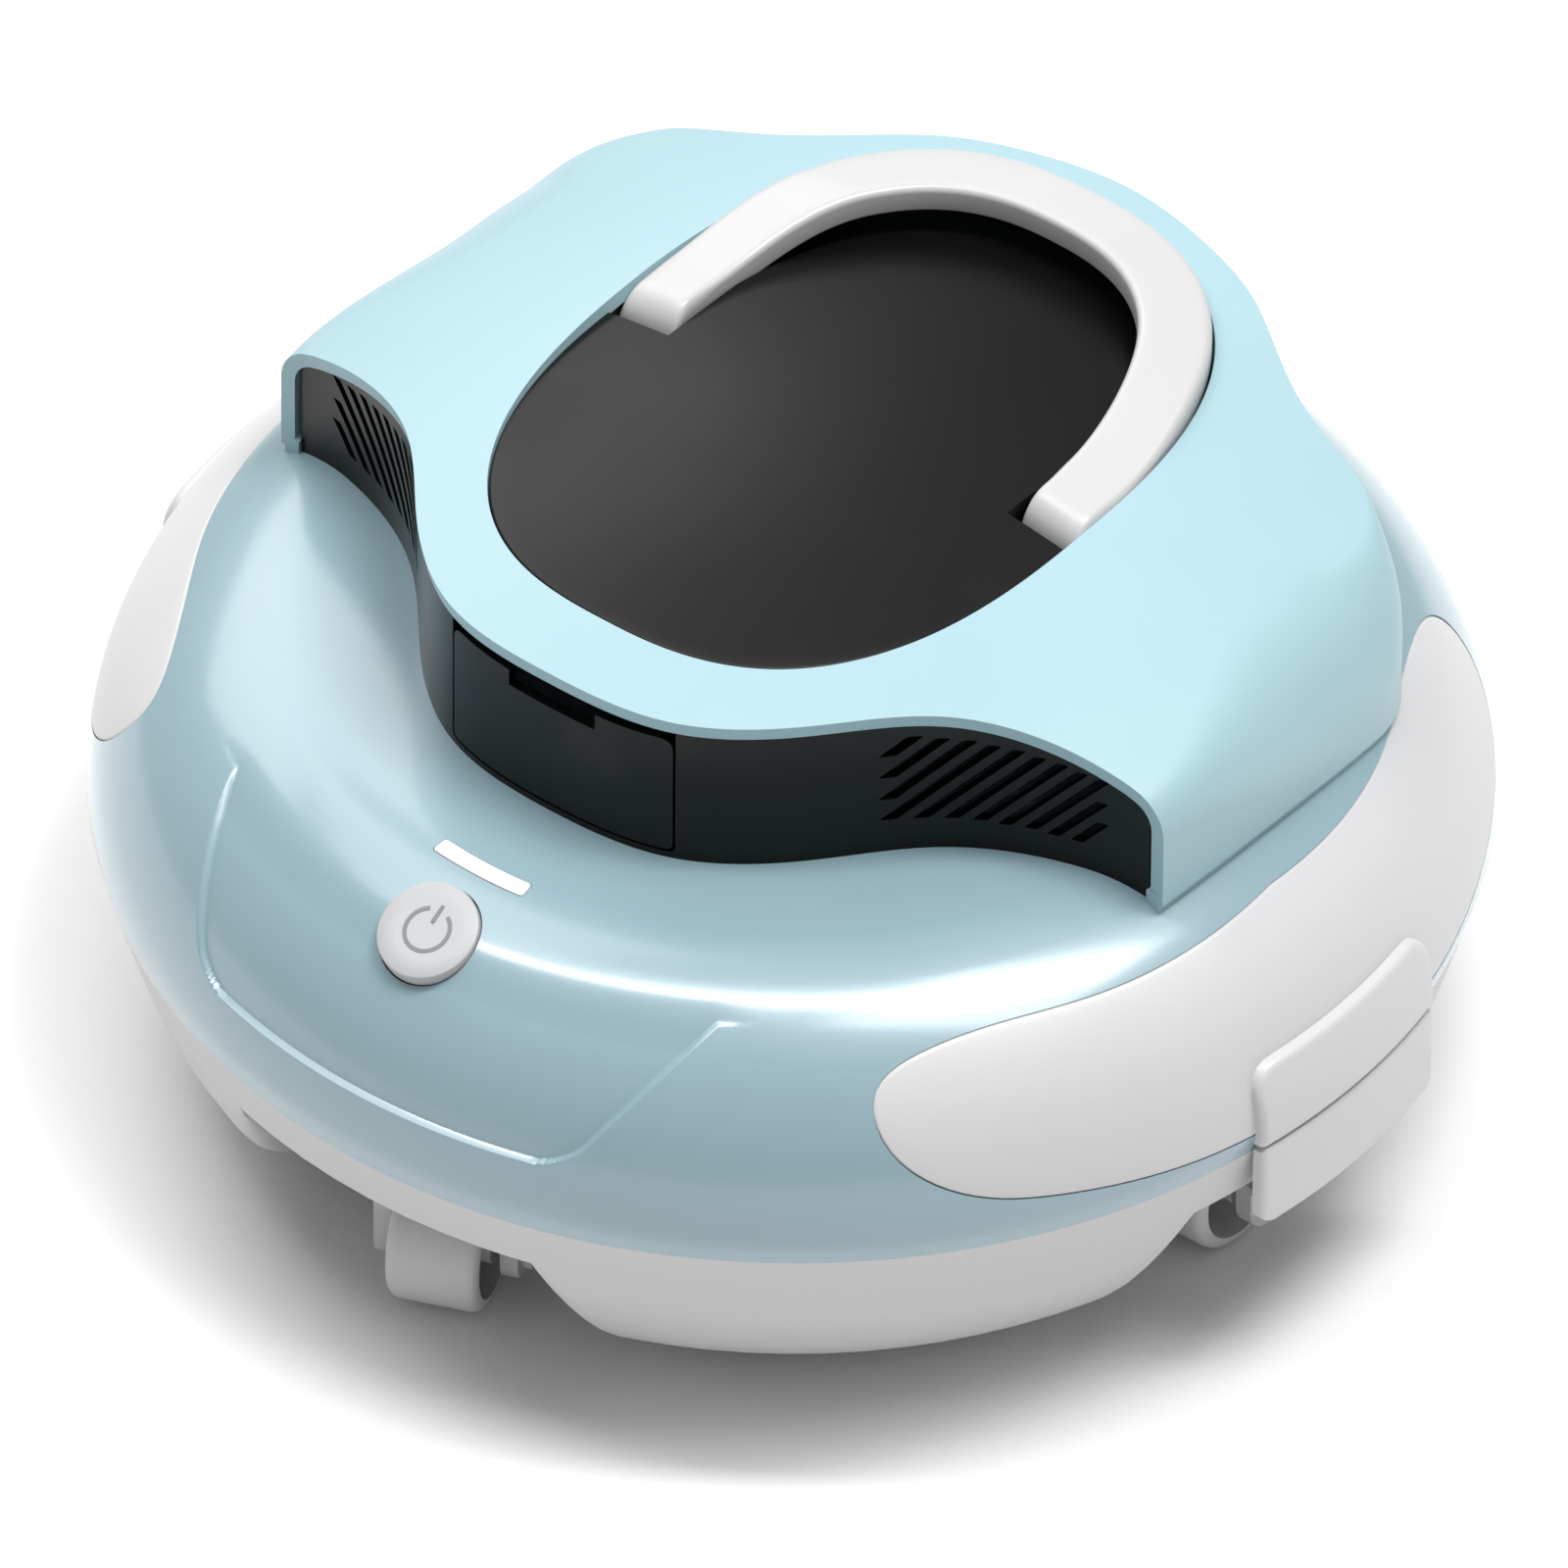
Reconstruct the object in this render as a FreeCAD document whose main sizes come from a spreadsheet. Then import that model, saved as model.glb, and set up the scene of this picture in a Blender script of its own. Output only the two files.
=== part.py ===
"""Cordless round robotic pool cleaner, in millimetres.

+Z is up, the front (button side) faces -Y, and the origin is on the floor under the body's axis.
"""
import FreeCAD, Part
import math
import os

import Sketcher

Vector = FreeCAD.Vector
Rotation = FreeCAD.Rotation
Placement = FreeCAD.Placement

# ---------------------------------------------------------------- driving dimensions

DIMENSIONS = {
    # dome and base
    "dome_radius": 190,
    "dome_curve": 60,
    "seam_height": 75,
    "seam_radius": 188.5,
    "bulge_height": 6.5,
    "wall": 3,
    "deck_hole": 62,
    "skirt_height": 18,
    "skirt_radius": 182,
    "lobe_foot_radius": 140,
    "lobe_foot_height": 6,
    "lobe_round": 66,
    "belly_radius": 110,
    "belly_height": 10,
    "pocket_half": 50,
    "pocket_inner": 112,
    # hood, window and handle
    "hood_centre_y": 22.5,
    "hood_semi_x": 214,
    "hood_semi_y": 284,
    "hood_semi_z": 90,
    "hood_base_z": 111,
    "hood_wall": 4.4,
    "hood_half_width": 153,
    "opening_half_x": 79,
    "opening_half_y": 107.6,
    "opening_centre_y": 24.6,
    "window_tilt": 4.6,
    "window_thickness": 3,
    "handle_width": 19,
    "handle_thickness": 8.5,
    "handle_rise": 3.6,
    "handle_end_y": 25,
    "handle_hinge_y": 31,
    "handle_hinge_z": 184.5,
    "handle_pin_radius": 2.5,
    "knuckle_radius": 5.5,
    # vent bands and outlet flaps
    "band_inset": 1,
    "band_wall": 3,
    "band_half_width": 146.6,
    "flap_half_width": 37.2,
    "flap_low": 144.2,
    "flap_top": 183,
    "flap_gap": 0.5,
    "flap_pin_radius": 1.2,
    "flap_pin_y": -98,
    "flap_pin_z": 180.5,
    "slot_count": 13,
    "slot_pitch": 6.4,
    "slot_width": 2.6,
    "slot_lean": 40,
    # button, light and panels
    "button_radius": 14.3,
    "button_height": 5,
    "button_tilt": 27,
    "button_proud": 1,
    "light_half": 15,
    "light_inner": 132,
    "light_outer": 137.2,
    "panel_depth": 1.6,
    "recess_depth": 1.5,
    # latches
    "latch_half": 37,
    "latch_thickness": 3.4,
    "latch_top": 103,
    "latch_split": 77,
    "latch_low": 50,
    "latch_pin_x": 179,
    "latch_pin_z": 52.5,
    "latch_pin_radius": 1.6,
    # wheels
    "wheel_radius": 20,
    "wheel_width": 26,
    "axle_radius": 3,
    "wheel_gap": 0.8,
    "hub_gap": 3.5,
    "steer_y": 148,
    "steer_heading": 22,
    "steer_pin_radius": 5,
    "side_wheel_x": 142,
    "arm_thickness": 5,
    "plate_radius": 26,
    "running_gap": 0.05,
    # works
    "inlet_length": 60,
    "inlet_width": 26,
    "inlet_y": 46,
    "motor_radius": 28,
    "motor_length": 58,
    "motor_base": 88,
    "shaft_radius": 3,
    "impeller_radius": 31,
    "basket_radius": 100,
    "basket_height": 46,
    "cell_radius": 9.2,
    "cell_length": 65,
    "screw_radius": 2,
}

doc = FreeCAD.newDocument("PoolCleaner")
sheet = doc.addObject("Spreadsheet::Sheet", "Sizes")
for row, (word, number) in enumerate(DIMENSIONS.items(), start=1):
    sheet.set("A%d" % row, word)
    sheet.set("B%d" % row, str(number))
    sheet.setAlias("B%d" % row, word)
doc.recompute()

nodes = {}


def size(word):
    """A driving dimension, read from the sheet."""
    return float(sheet.get(word))


def number(formula):
    """The value of a formula written with the sheet's words."""
    return float(sheet.evalExpression(formula))


def keep(name, thing):
    """Make an object a sub-part; its label names its file."""
    thing.Label = name
    nodes[name] = thing
    return thing


# ---------------------------------------------------------------- building blocks


def bind(thing, formulas):
    for prop, formula in formulas.items():
        thing.setExpression(prop, formula)
    return thing


def box(name, length, width, height, corner):
    """A block whose low corner is at the given point."""
    block = bind(doc.addObject("Part::Box", name), {"Length": length, "Width": width, "Height": height})
    block.Placement = Placement(Vector(*corner), Rotation())
    return block


def slab(name, half_x, width, height, low_y, low_z):
    """A block centred on X = 0."""
    block = box(name, "2 * (%s)" % half_x, width, height, (0, low_y, low_z))
    block.Placement.Base.x = -number(half_x)
    return block


def rod(name, radius, length, start, direction=(0, 0, 1)):
    """A cylinder from a start point along a direction."""
    cylinder = bind(doc.addObject("Part::Cylinder", name), {"Radius": radius, "Height": length})
    turn = Rotation(Vector(0, 0, 1), Vector(*direction))
    cylinder.Placement = Placement(Vector(*start), turn)
    return cylinder


def cut(name, base, tool):
    thing = doc.addObject("Part::Cut", name)
    thing.Base = base
    thing.Tool = tool
    return thing


def join(name, pieces):
    thing = doc.addObject("Part::MultiFuse", name)
    thing.Shapes = pieces
    return thing


def overlap(name, pieces):
    thing = doc.addObject("Part::MultiCommon", name)
    thing.Shapes = pieces
    return thing


def solid(name, shape):
    """A sub-part or tool whose shape is worked out with Part's own functions."""
    thing = doc.addObject("Part::Feature", name)
    thing.Shape = shape
    return thing


def turned(name, source, angle):
    """A copy of a finished object, turned about the body's axis."""
    doc.recompute()
    shape = source.Shape.copy()
    shape.rotate(Vector(), Vector(0, 0, 1), angle)
    return solid(name, shape)


def flipped(name, source, normal, through=0.0):
    """A mirror copy in a plane square to X or Y."""
    doc.recompute()
    axis = Vector(*normal)
    return solid(name, source.Shape.mirror(axis * through, axis))


def plane(body, role):
    return [feature for feature in body.Origin.OriginFeatures if feature.Role == role][0]


def arc_between(start, end, radius):
    """The short arc between two points; a positive radius bends it to the left of the way."""
    middle = (start + end) * 0.5
    half = (end - start) * 0.5
    side = Vector(-half.y, half.x, 0).normalize()
    bulge = abs(radius) - math.sqrt(radius ** 2 - half.Length ** 2)
    crest = middle + side * math.copysign(bulge, radius)
    return Part.Arc(start, crest, end)


def outline_sketch(body, name, role, corners):
    """A closed sketch; a corner is (x, y) or (x, y, radius of the arc to the next corner)."""
    sketch = body.newObject("Sketcher::SketchObject", name)
    sketch.AttachmentSupport = [(plane(body, role), "")]
    sketch.MapMode = "FlatFace"
    points = [Vector(number(corner[0]), number(corner[1]), 0) for corner in corners]
    for index, corner in enumerate(corners):
        start = points[index]
        end = points[(index + 1) % len(points)]
        if len(corner) == 3:
            sketch.addGeometry(arc_between(start, end, number(corner[2])), False)
        else:
            sketch.addGeometry(Part.LineSegment(start, end), False)
    ends = []
    for index, corner in enumerate(corners):
        backwards = len(corner) == 3 and number(corner[2]) > 0
        ends.append((2, 1) if backwards else (1, 2))
    for index, corner in enumerate(corners):
        after = (index + 1) % len(corners)
        first = ends[index][0]
        sketch.addConstraint(Sketcher.Constraint("Coincident", index, ends[index][1], after, ends[after][0]))
        for kind, formula, value in (("DistanceX", corner[0], points[index].x),
                                     ("DistanceY", corner[1], points[index].y)):
            place = sketch.addConstraint(Sketcher.Constraint(kind, -1, 1, index, first, value))
            sketch.setExpression("Constraints[%d]" % place, formula)
        if len(corner) == 3:
            radius = abs(number(corner[2]))
            place = sketch.addConstraint(Sketcher.Constraint("Radius", index, radius))
            sketch.setExpression("Constraints[%d]" % place, "abs(%s)" % corner[2])
    return sketch


def spun(name, corners):
    """A body turned about Z from an outline in the XZ plane."""
    body = doc.addObject("PartDesign::Body", name)
    sketch = outline_sketch(body, name + "_outline", "XZ_Plane", corners)
    turn = body.newObject("PartDesign::Revolution", name + "_turn")
    turn.Profile = sketch
    turn.ReferenceAxis = (sketch, ["V_Axis"])
    turn.Angle = 360
    return body


RIM_Z = "(Sizes.seam_height + Sizes.bulge_height)"
rim_z = number(RIM_Z)
deck_z = rim_z + size("dome_curve")
ring_centre = size("dome_radius") - size("dome_curve")


def dome_form(name, inset):
    """The solid dome, from the seam up, drawn in by a layer's thickness."""
    radius = "(Sizes.dome_radius - (%s))" % inset
    return spun(name, [
        ("0", "Sizes.seam_height"),
        ("Sizes.seam_radius - (%s)" % inset, "Sizes.seam_height"),
        (radius, RIM_Z, "-(Sizes.dome_curve - (%s))" % inset),
        ("Sizes.dome_radius - Sizes.dome_curve", RIM_Z + " + Sizes.dome_curve - (%s)" % inset),
        ("0", RIM_Z + " + Sizes.dome_curve - (%s)" % inset),
    ])


def tray_form(name, inset):
    """The solid base, from the seam down, drawn in by a wall's thickness."""
    step = "(%s)" % inset
    return spun(name, [
        ("0", "Sizes.belly_height + " + step),
        ("Sizes.belly_radius - " + step, "Sizes.belly_height + " + step),
        ("Sizes.belly_radius + 8 - " + step, "Sizes.lobe_foot_height + " + step),
        ("Sizes.lobe_foot_radius", "Sizes.lobe_foot_height + " + step, "-(Sizes.lobe_round - %s)" % step),
        ("Sizes.skirt_radius - 0.5 - " + step, "Sizes.seam_height - Sizes.skirt_height + " + step),
        ("Sizes.skirt_radius - " + step, "Sizes.seam_height - Sizes.skirt_height + " + step),
        ("Sizes.seam_radius - " + step, "Sizes.seam_height"),
        ("0", "Sizes.seam_height"),
    ])


def hood_ellipsoid(name, drop, tilt=0.0, lower=0.0, hinge=None):
    """The hood's crown as a solid, drawn in by drop, tilted back about a level line, and lowered."""
    ball = doc.addObject("Part::Ellipsoid", name)
    bind(ball, {"Radius2": "Sizes.hood_semi_x - (%s)" % drop,
                "Radius3": "Sizes.hood_semi_y - (%s)" % drop,
                "Radius1": "Sizes.hood_semi_z - (%s)" % drop})
    ball.Angle1 = -90
    ball.Angle2 = 90
    centre = Vector(0, size("hood_centre_y"), size("hood_base_z") - lower)
    pivot = Vector(0, size("opening_centre_y") - size("opening_half_y") if hinge is None else hinge, deck_z + 53)
    turn = Rotation(Vector(1, 0, 0), -tilt)
    ball.Placement = Placement(pivot + turn.multVec(centre - pivot), turn)
    return ball


# right halves of the hood's front and rear edges, from the middle to the corner
FRONT_HALF = [(0, -106), (37.5, -100.5), (65, -80.5), (92, -51.5), (131, -34), (150.6, -31)]
REAR_HALF = [(0, 145), (27, 141), (52, 132), (75, 116), (92, 106), (112, 99), (134, 89.5), (150.6, 76)]


def hood_edge(half, shift=0.0):
    """One of the hood's S-shaped edges from the left corner to the right one, moved along Y by shift."""
    whole = [(-x, y) for x, y in reversed(half[1:])] + half
    curve = Part.BSplineCurve()
    curve.interpolate([Vector(x, y + shift, 0) for x, y in whole])
    return curve.toShape()


def raised(edges, low, high):
    """A solid with vertical sides over a closed outline of edges."""
    wire = Part.Wire(Part.__sortEdges__(edges))
    face = Part.Face(wire)
    face.translate(Vector(0, 0, low))
    return face.extrude(Vector(0, 0, high - low))


def hood_prism(low, high):
    corner_front = Vector(*FRONT_HALF[-1], 0)
    corner_rear = Vector(*REAR_HALF[-1], 0)
    middle = Vector(size("hood_half_width"), (corner_front.y + corner_rear.y) / 2, 0)
    sides = []
    for sign in (-1, 1):
        bend = [Vector(sign * point.x, point.y, 0) for point in (corner_front, middle, corner_rear)]
        sides.append(Part.Arc(*bend).toShape())
    return raised([hood_edge(FRONT_HALF), hood_edge(REAR_HALF)] + sides, low, high)


def opening_prism(inset, low, high, exponent=2.5, count=32):
    """The oval opening: a rounded oblong with sides of power 2.5, drawn in by inset."""
    half_x = size("opening_half_x") - inset
    half_y = size("opening_half_y") - inset
    points = []
    for step in range(count):
        angle = 2 * math.pi * (step + 0.5) / count
        reach_x = math.copysign(abs(math.cos(angle)) ** (2 / exponent), math.cos(angle))
        reach_y = math.copysign(abs(math.sin(angle)) ** (2 / exponent), math.sin(angle))
        points.append(Vector(half_x * reach_x, size("opening_centre_y") + half_y * reach_y, 0))
    curve = Part.BSplineCurve()
    curve.interpolate(points, PeriodicFlag=True)
    return raised([curve.toShape()], low, high)


# ---------------------------------------------------------------- dome and its inlays

dome_outer = dome_form("dome_outer", "0")
dome_inner = dome_form("dome_inner", "Sizes.wall")
dome_inlay = dome_form("dome_inlay", "Sizes.panel_depth")
dome_recess = dome_form("dome_recess", "Sizes.recess_depth")
deck_hole = rod("deck_hole_tool", "Sizes.deck_hole", "20", (0, 0, deck_z - 10))
dome_shell = cut("dome_shell", cut("dome_hollow", dome_outer, dome_inner), deck_hole)


def side_panel_prism(sign):
    """A long rounded patch seen from the side, pointing out along X."""
    outline = [(0, 57), (65, 55.6), (107, 53.4), (124.5, 44), (126.5, 34), (119, 22.5), (94, 13.5), (45, 7.4), (0, 6.5)]
    points = [Vector(0, y, size("seam_height") + up) for y, up in outline]
    points += [Vector(0, -y, size("seam_height") + up) for y, up in reversed(outline[1:-1])]
    curve = Part.BSplineCurve()
    curve.interpolate(points, PeriodicFlag=True)
    face = Part.Face(Part.Wire(curve.toShape()))
    face.translate(Vector(sign * 60, 0, 0))
    return face.extrude(Vector(sign * 140, 0, 0))


inlay_layer = cut("inlay_layer", dome_outer, dome_inlay)
for side, sign in (("right", 1), ("left", -1)):
    patch = solid("panel_patch_" + side, side_panel_prism(sign))
    keep("side_panel_" + side, overlap("side_panel_" + side, [inlay_layer, patch]))

lean = math.radians(size("button_tilt"))
button_out = Vector(0, -math.sin(lean), math.cos(lean))
button_seat = Vector(0, -ring_centre, rim_z) + button_out * size("dome_curve")


def below_button(depth):
    """A point on the button's axis, this far under the dome's surface."""
    return tuple(button_seat - button_out * depth)


button_hole = rod("button_hole_tool", "Sizes.button_radius + 0.4", "30", below_button(20), tuple(button_out))
button = rod("power_button", "Sizes.button_radius", "Sizes.button_height",
             below_button(size("button_height") - size("button_proud")), tuple(button_out))
keep("power_button", button)
switch_plate = rod("switch_plate_disc", "Sizes.button_radius + 2", "1.8", below_button(9.4), tuple(button_out))
switch_stem = rod("switch_stem", "3", "2", below_button(7.6), tuple(button_out))
keep("button_switch", join("button_switch", [switch_plate, switch_stem]))

light_ring = cut("light_ring", rod("light_disc", "Sizes.light_outer", "3.2", (0, 0, deck_z - 3)),
                 rod("light_core", "Sizes.light_inner", "9", (0, 0, deck_z - 5)))
light_window = slab("light_window", "Sizes.light_half", "20", "9", -size("light_outer") - 5, deck_z - 5)
keep("light_bar", overlap("light_bar", [light_ring, light_window]))

recess_layer = cut("recess_layer", dome_outer, dome_recess)
recess_sides = [(-62, 97.5), (62, 97.5), (83, 134), (-83, 134)]
recess_wire = Part.makePolygon([Vector(x, -size("dome_radius") - 5, z) for x, z in recess_sides + recess_sides[:1]])
recess_prism = Part.Face(recess_wire).extrude(Vector(0, 130, 0))
rounded = [edge for edge in recess_prism.Edges if edge.Length > 129 and edge.BoundBox.ZMax < 110]
front_recess = overlap("front_recess", [recess_layer, solid("recess_patch", recess_prism.makeFillet(9, rounded))])

charge_hole = rod("charge_hole_tool", "8", "40", (0, 160, 98), (0, 1, 0))
shell_tools = join("shell_tools", [nodes["side_panel_right"], nodes["side_panel_left"], button_hole,
                                   nodes["light_bar"], front_recess, charge_hole])
keep("upper_shell", cut("upper_shell", dome_shell, shell_tools))

socket_tube = rod("socket_tube", "8", "14", (0, 172.5, 98), (0, 1, 0))
socket_bore = rod("socket_bore", "5", "10", (0, 177, 98), (0, 1, 0))
keep("charge_socket", cut("charge_socket", socket_tube, socket_bore))
cap_plug = rod("cap_plug", "5", "8", (0, 180, 98), (0, 1, 0))
cap_disc = rod("cap_disc", "8", "1.6", (0, 186.5, 98), (0, 1, 0))
keep("charge_cap", join("charge_cap", [cap_plug, cap_disc]))

# ---------------------------------------------------------------- base tray

tray_outer = tray_form("tray_outer", "0")
tray_inner = tray_form("tray_inner", "Sizes.wall")
pocket_roof = size("seam_height") - size("skirt_height")
blocks = []
holes = []
for quarter in range(4):
    block = slab("pocket_block_%d" % quarter, "Sizes.pocket_half + Sizes.wall",
                 "Sizes.seam_radius - Sizes.pocket_inner + Sizes.wall",
                 "Sizes.seam_height - Sizes.skirt_height + Sizes.wall", -size("seam_radius"), 0)
    hole = slab("pocket_hole_%d" % quarter, "Sizes.pocket_half", "Sizes.dome_radius - Sizes.pocket_inner + 10",
                "Sizes.seam_height - Sizes.skirt_height + 1", -size("dome_radius") - 10, -1)
    blocks.append(turned("pocket_wall_%d" % quarter, block, 90 * quarter))
    holes.append(turned("pocket_room_%d" % quarter, hole, 90 * quarter))
inlets = []
for sign in (-1, 1):
    inlets.append(slab("inlet_hole_%s" % ("front" if sign < 0 else "rear"), "Sizes.inlet_length / 2",
                       "Sizes.inlet_width", "20", sign * size("inlet_y") - size("inlet_width") / 2, 0))

steer_towers = []
steer_bores = []
for sign in (-1, 1):
    where = (0, sign * size("steer_y"), pocket_roof)
    steer_towers.append(rod("steer_tower_%d" % (sign + 1), "Sizes.steer_pin_radius + 4", "12", where))
    steer_bores.append(rod("steer_bore_%d" % (sign + 1), "Sizes.steer_pin_radius + Sizes.running_gap", "15",
                           (where[0], where[1], pocket_roof - 1)))

screw_places = [(130 * math.cos(math.radians(a)), 130 * math.sin(math.radians(a))) for a in (45, 135, 225, 315)]
foot_z = size("lobe_foot_height")
posts = [rod("screw_post_%d" % i, "6", "22", (x, y, foot_z + 1)) for i, (x, y) in enumerate(screw_places)]
post_bores = [rod("screw_bore_%d" % i, "Sizes.screw_radius", "40", (x, y, 0)) for i, (x, y) in enumerate(screw_places)]
head_bores = [rod("head_bore_%d" % i, "4.2", "4", (x, y, foot_z - 0.5)) for i, (x, y) in enumerate(screw_places)]

lugs = []
lug_bores = []
latch_pins = {}
pin_x = size("latch_pin_x")
pin_z = size("latch_pin_z")
for side, sign in (("right", 1), ("left", -1)):
    pin = rod("latch_pin_" + side, "Sizes.latch_pin_radius", "60", (sign * pin_x, -30, pin_z), (0, 1, 0))
    latch_pins[side] = keep("latch_pin_" + side, pin)
    for end in (-30, 24):
        corner = (sign * pin_x - 2.5, end, pin_z - 3.1)
        lugs.append(box("latch_lug_%s_%d" % (side, end > 0), "5", "6", "9", corner))
    lug_bores.append(rod("lug_bore_" + side, "Sizes.latch_pin_radius", "64", (sign * pin_x, -32, pin_z), (0, 1, 0)))

hinge_ears = []
ear_bores = []
INLET_HINGE_Z = 17.0
for sign in (-1, 1):
    hinge_y = sign * (size("inlet_y") - size("inlet_width") / 2 - 4)
    for end in (-36, 32):
        hinge_ears.append(box("inlet_ear_%d_%d" % (sign + 1, end > 0), "4", "6", "8", (end, hinge_y - 3, 12)))
    ear_bores.append(rod("inlet_ear_bore_%d" % (sign + 1), "1.25", "80", (-40, hinge_y, INLET_HINGE_Z), (1, 0, 0)))

tray_solid = cut("tray_solid", tray_outer, tray_inner)
tray_walls = overlap("tray_walls", [tray_outer, join("pocket_walls", blocks)])
tray_posts = join("tray_posts", [tray_solid, tray_walls] + posts + steer_towers + hinge_ears)
tray_rooms = cut("tray_rooms", tray_posts, join("room_tools", holes + inlets))
tray_lugs = join("tray_lugs", [tray_rooms] + lugs)
keep("base_tray", cut("base_tray", tray_lugs,
                      join("bore_tools", steer_bores + post_bores + head_bores + lug_bores + ear_bores)))

screws = []
for i, (x, y) in enumerate(screw_places):
    head = rod("screw_head_%d" % i, "4", "2.6", (x, y, foot_z + 0.6))
    shank = rod("screw_shank_%d" % i, "Sizes.screw_radius", "18", (x, y, foot_z + 2))
    screws += [head, shank]
keep("base_screws", join("base_screws", screws))

seal_outer = rod("seal_outer", "Sizes.seam_radius - Sizes.wall - 0.6", "5", (0, 0, size("seam_height") - 1))
seal_inner = rod("seal_inner", "Sizes.seam_radius - Sizes.wall - 4", "9", (0, 0, size("seam_height") - 3))
keep("body_seal", cut("body_seal", seal_outer, seal_inner))

# ---------------------------------------------------------------- hood, vent bands, window

HOOD_HIGH = size("hood_base_z") + size("hood_semi_z") + 5
HOOD_LOW = deck_z - 15
hood_block = cut("hood_block", solid("hood_blank", hood_prism(HOOD_LOW, HOOD_HIGH)), dome_outer)
hood_crown = hood_ellipsoid("hood_crown", "0")
hood_under = hood_ellipsoid("hood_under", "Sizes.hood_wall")
hood_solid = overlap("hood_solid", [hood_block, hood_crown])
tunnel = slab("hood_tunnel", "Sizes.band_half_width + 0.4", "300", "80", -130, HOOD_LOW - 5)
hood_void = overlap("hood_void", [tunnel, hood_under])
opening = solid("hood_opening", opening_prism(0, 150, HOOD_HIGH))
keep("hood", cut("hood", cut("hood_shell", hood_solid, hood_void), opening))

inset = size("band_inset")
band_depth = size("band_wall")


def band_strip(half, way, low, high):
    """The upright wall that follows one of the hood's edges, set in from it."""
    outside = hood_edge(half, way * inset)
    inside = hood_edge(half, way * (inset + band_depth))
    ends = []
    for index in (0, -1):
        near = outside.Vertexes[index].Point
        far = inside.Vertexes[index].Point
        ends.append(Part.LineSegment(near, far).toShape())
    return raised([outside, inside] + ends, low, high)


def grille(side, sign):
    """Slanted slots inside a four-sided field of the band."""
    corners = [(80, 152), (131, 149.5), (131, 174.5), (80, 182.5)]
    wire = Part.makePolygon([Vector(sign * x, -90, z) for x, z in corners + corners[:1]])
    field = solid("grille_field_" + side, Part.Face(wire).extrude(Vector(0, 80, 0)))
    lean = Rotation(Vector(0, 1, 0), sign * size("slot_lean"))
    bars = []
    for i in range(int(size("slot_count"))):
        bar = box("slot_%s_%d" % (side, i), "Sizes.slot_width", "70", "60", (0, 0, 0))
        middle = Vector(sign * (66 + size("slot_pitch") * i), -50, 166)
        bar.Placement = Placement(middle + lean.multVec(Vector(-size("slot_width") / 2, -35, -30)), lean)
        bars.append(bar)
    return overlap("grille_" + side, [field, join("slots_" + side, bars)])


flap_low = size("flap_low")
flap_reach = size("flap_half_width") + size("flap_gap")
pin_centre_z = size("flap_pin_z")
band_limits = slab("band_limits", "Sizes.band_half_width", "300", "80", -130, HOOD_LOW)
bosses = join("flap_bosses", [box("flap_boss_%d" % (x > 0), "2.1", "4.5", "7", (x, -100, pin_centre_z - 3.5))
                              for x in (flap_reach, -flap_reach - 2.1)])
doorway = slab("doorway", "Sizes.flap_half_width + Sizes.flap_gap", "40", "60", -120, flap_low - size("flap_gap"))
openings = join("band_openings", [doorway, grille("right", 1), grille("left", -1)])
flap_bore = rod("flap_bore", "Sizes.flap_pin_radius + Sizes.running_gap", "2 * Sizes.flap_half_width + 8",
                (-size("flap_half_width") - 4, size("flap_pin_y"), pin_centre_z), (1, 0, 0))
flap_frame = slab("flap_frame", "Sizes.flap_half_width", "40", "Sizes.flap_top - Sizes.flap_low", -120, flap_low)
stubs = join("flap_stubs", [rod("flap_stub_%d" % (x > 0), "Sizes.flap_pin_radius", "5",
                                (x, size("flap_pin_y"), pin_centre_z), (1, 0, 0))
                            for x in (size("flap_half_width") - 3, -size("flap_half_width") - 2)])
front_tools = {"bosses": bosses, "openings": openings, "bore": flap_bore, "frame": flap_frame, "stubs": stubs}
mirror_y = (FRONT_HALF[0][1] + REAR_HALF[0][1]) / 2
rear_tools = {word: flipped("rear_" + word, tool, (0, 1, 0), mirror_y) for word, tool in front_tools.items()}

for side, half, way, tools in (("front", FRONT_HALF, 1, front_tools), ("rear", REAR_HALF, -1, rear_tools)):
    strip = solid("band_strip_" + side, band_strip(half, way, HOOD_LOW, HOOD_HIGH))
    wall = overlap("band_wall_" + side, [cut("band_blank_" + side, strip, dome_outer), band_limits, hood_under])
    opened = cut("band_opened_" + side, wall, tools["openings"])
    bossed = join("band_bossed_" + side, [opened, tools["bosses"]])
    keep("vent_band_" + side, cut("vent_band_" + side, bossed, tools["bore"]))
    leaf = overlap("flap_leaf_" + side, [strip, tools["frame"]])
    keep("outlet_flap_" + side, join("outlet_flap_" + side, [leaf, tools["stubs"]]))

tilt = size("window_tilt")
window_top = hood_ellipsoid("window_top", "0", tilt)
window_under = hood_ellipsoid("window_under", "0", tilt, size("window_thickness"))
window_block = solid("window_block", opening_prism(0.4, 150, HOOD_HIGH))
window_sheet = cut("window_sheet", overlap("window_dome", [window_block, window_top]), window_under)
hinge_y = size("handle_hinge_y")
hinge_z = size("handle_hinge_z")
well_rooms = [box("well_room_%d" % (x > 0), "23", "26", "40", (x, hinge_y - 15, hinge_z - 9))
              for x in (57.5, -80.5)]
keep("window_panel", cut("window_panel", window_sheet, join("window_tools", well_rooms)))

for side, low_x, room_x in (("right", 55.5, 57.5), ("left", -78.5, -78.6)):
    cup = box("well_cup_" + side, "23", "30", "8.4", (low_x, hinge_y - 17, hinge_z - 11))
    room = box("well_space_" + side, "21.1", "26", "12", (room_x, hinge_y - 15, hinge_z - 9))
    keep("handle_well_" + side, cut("handle_well_" + side, cup, room))

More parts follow.
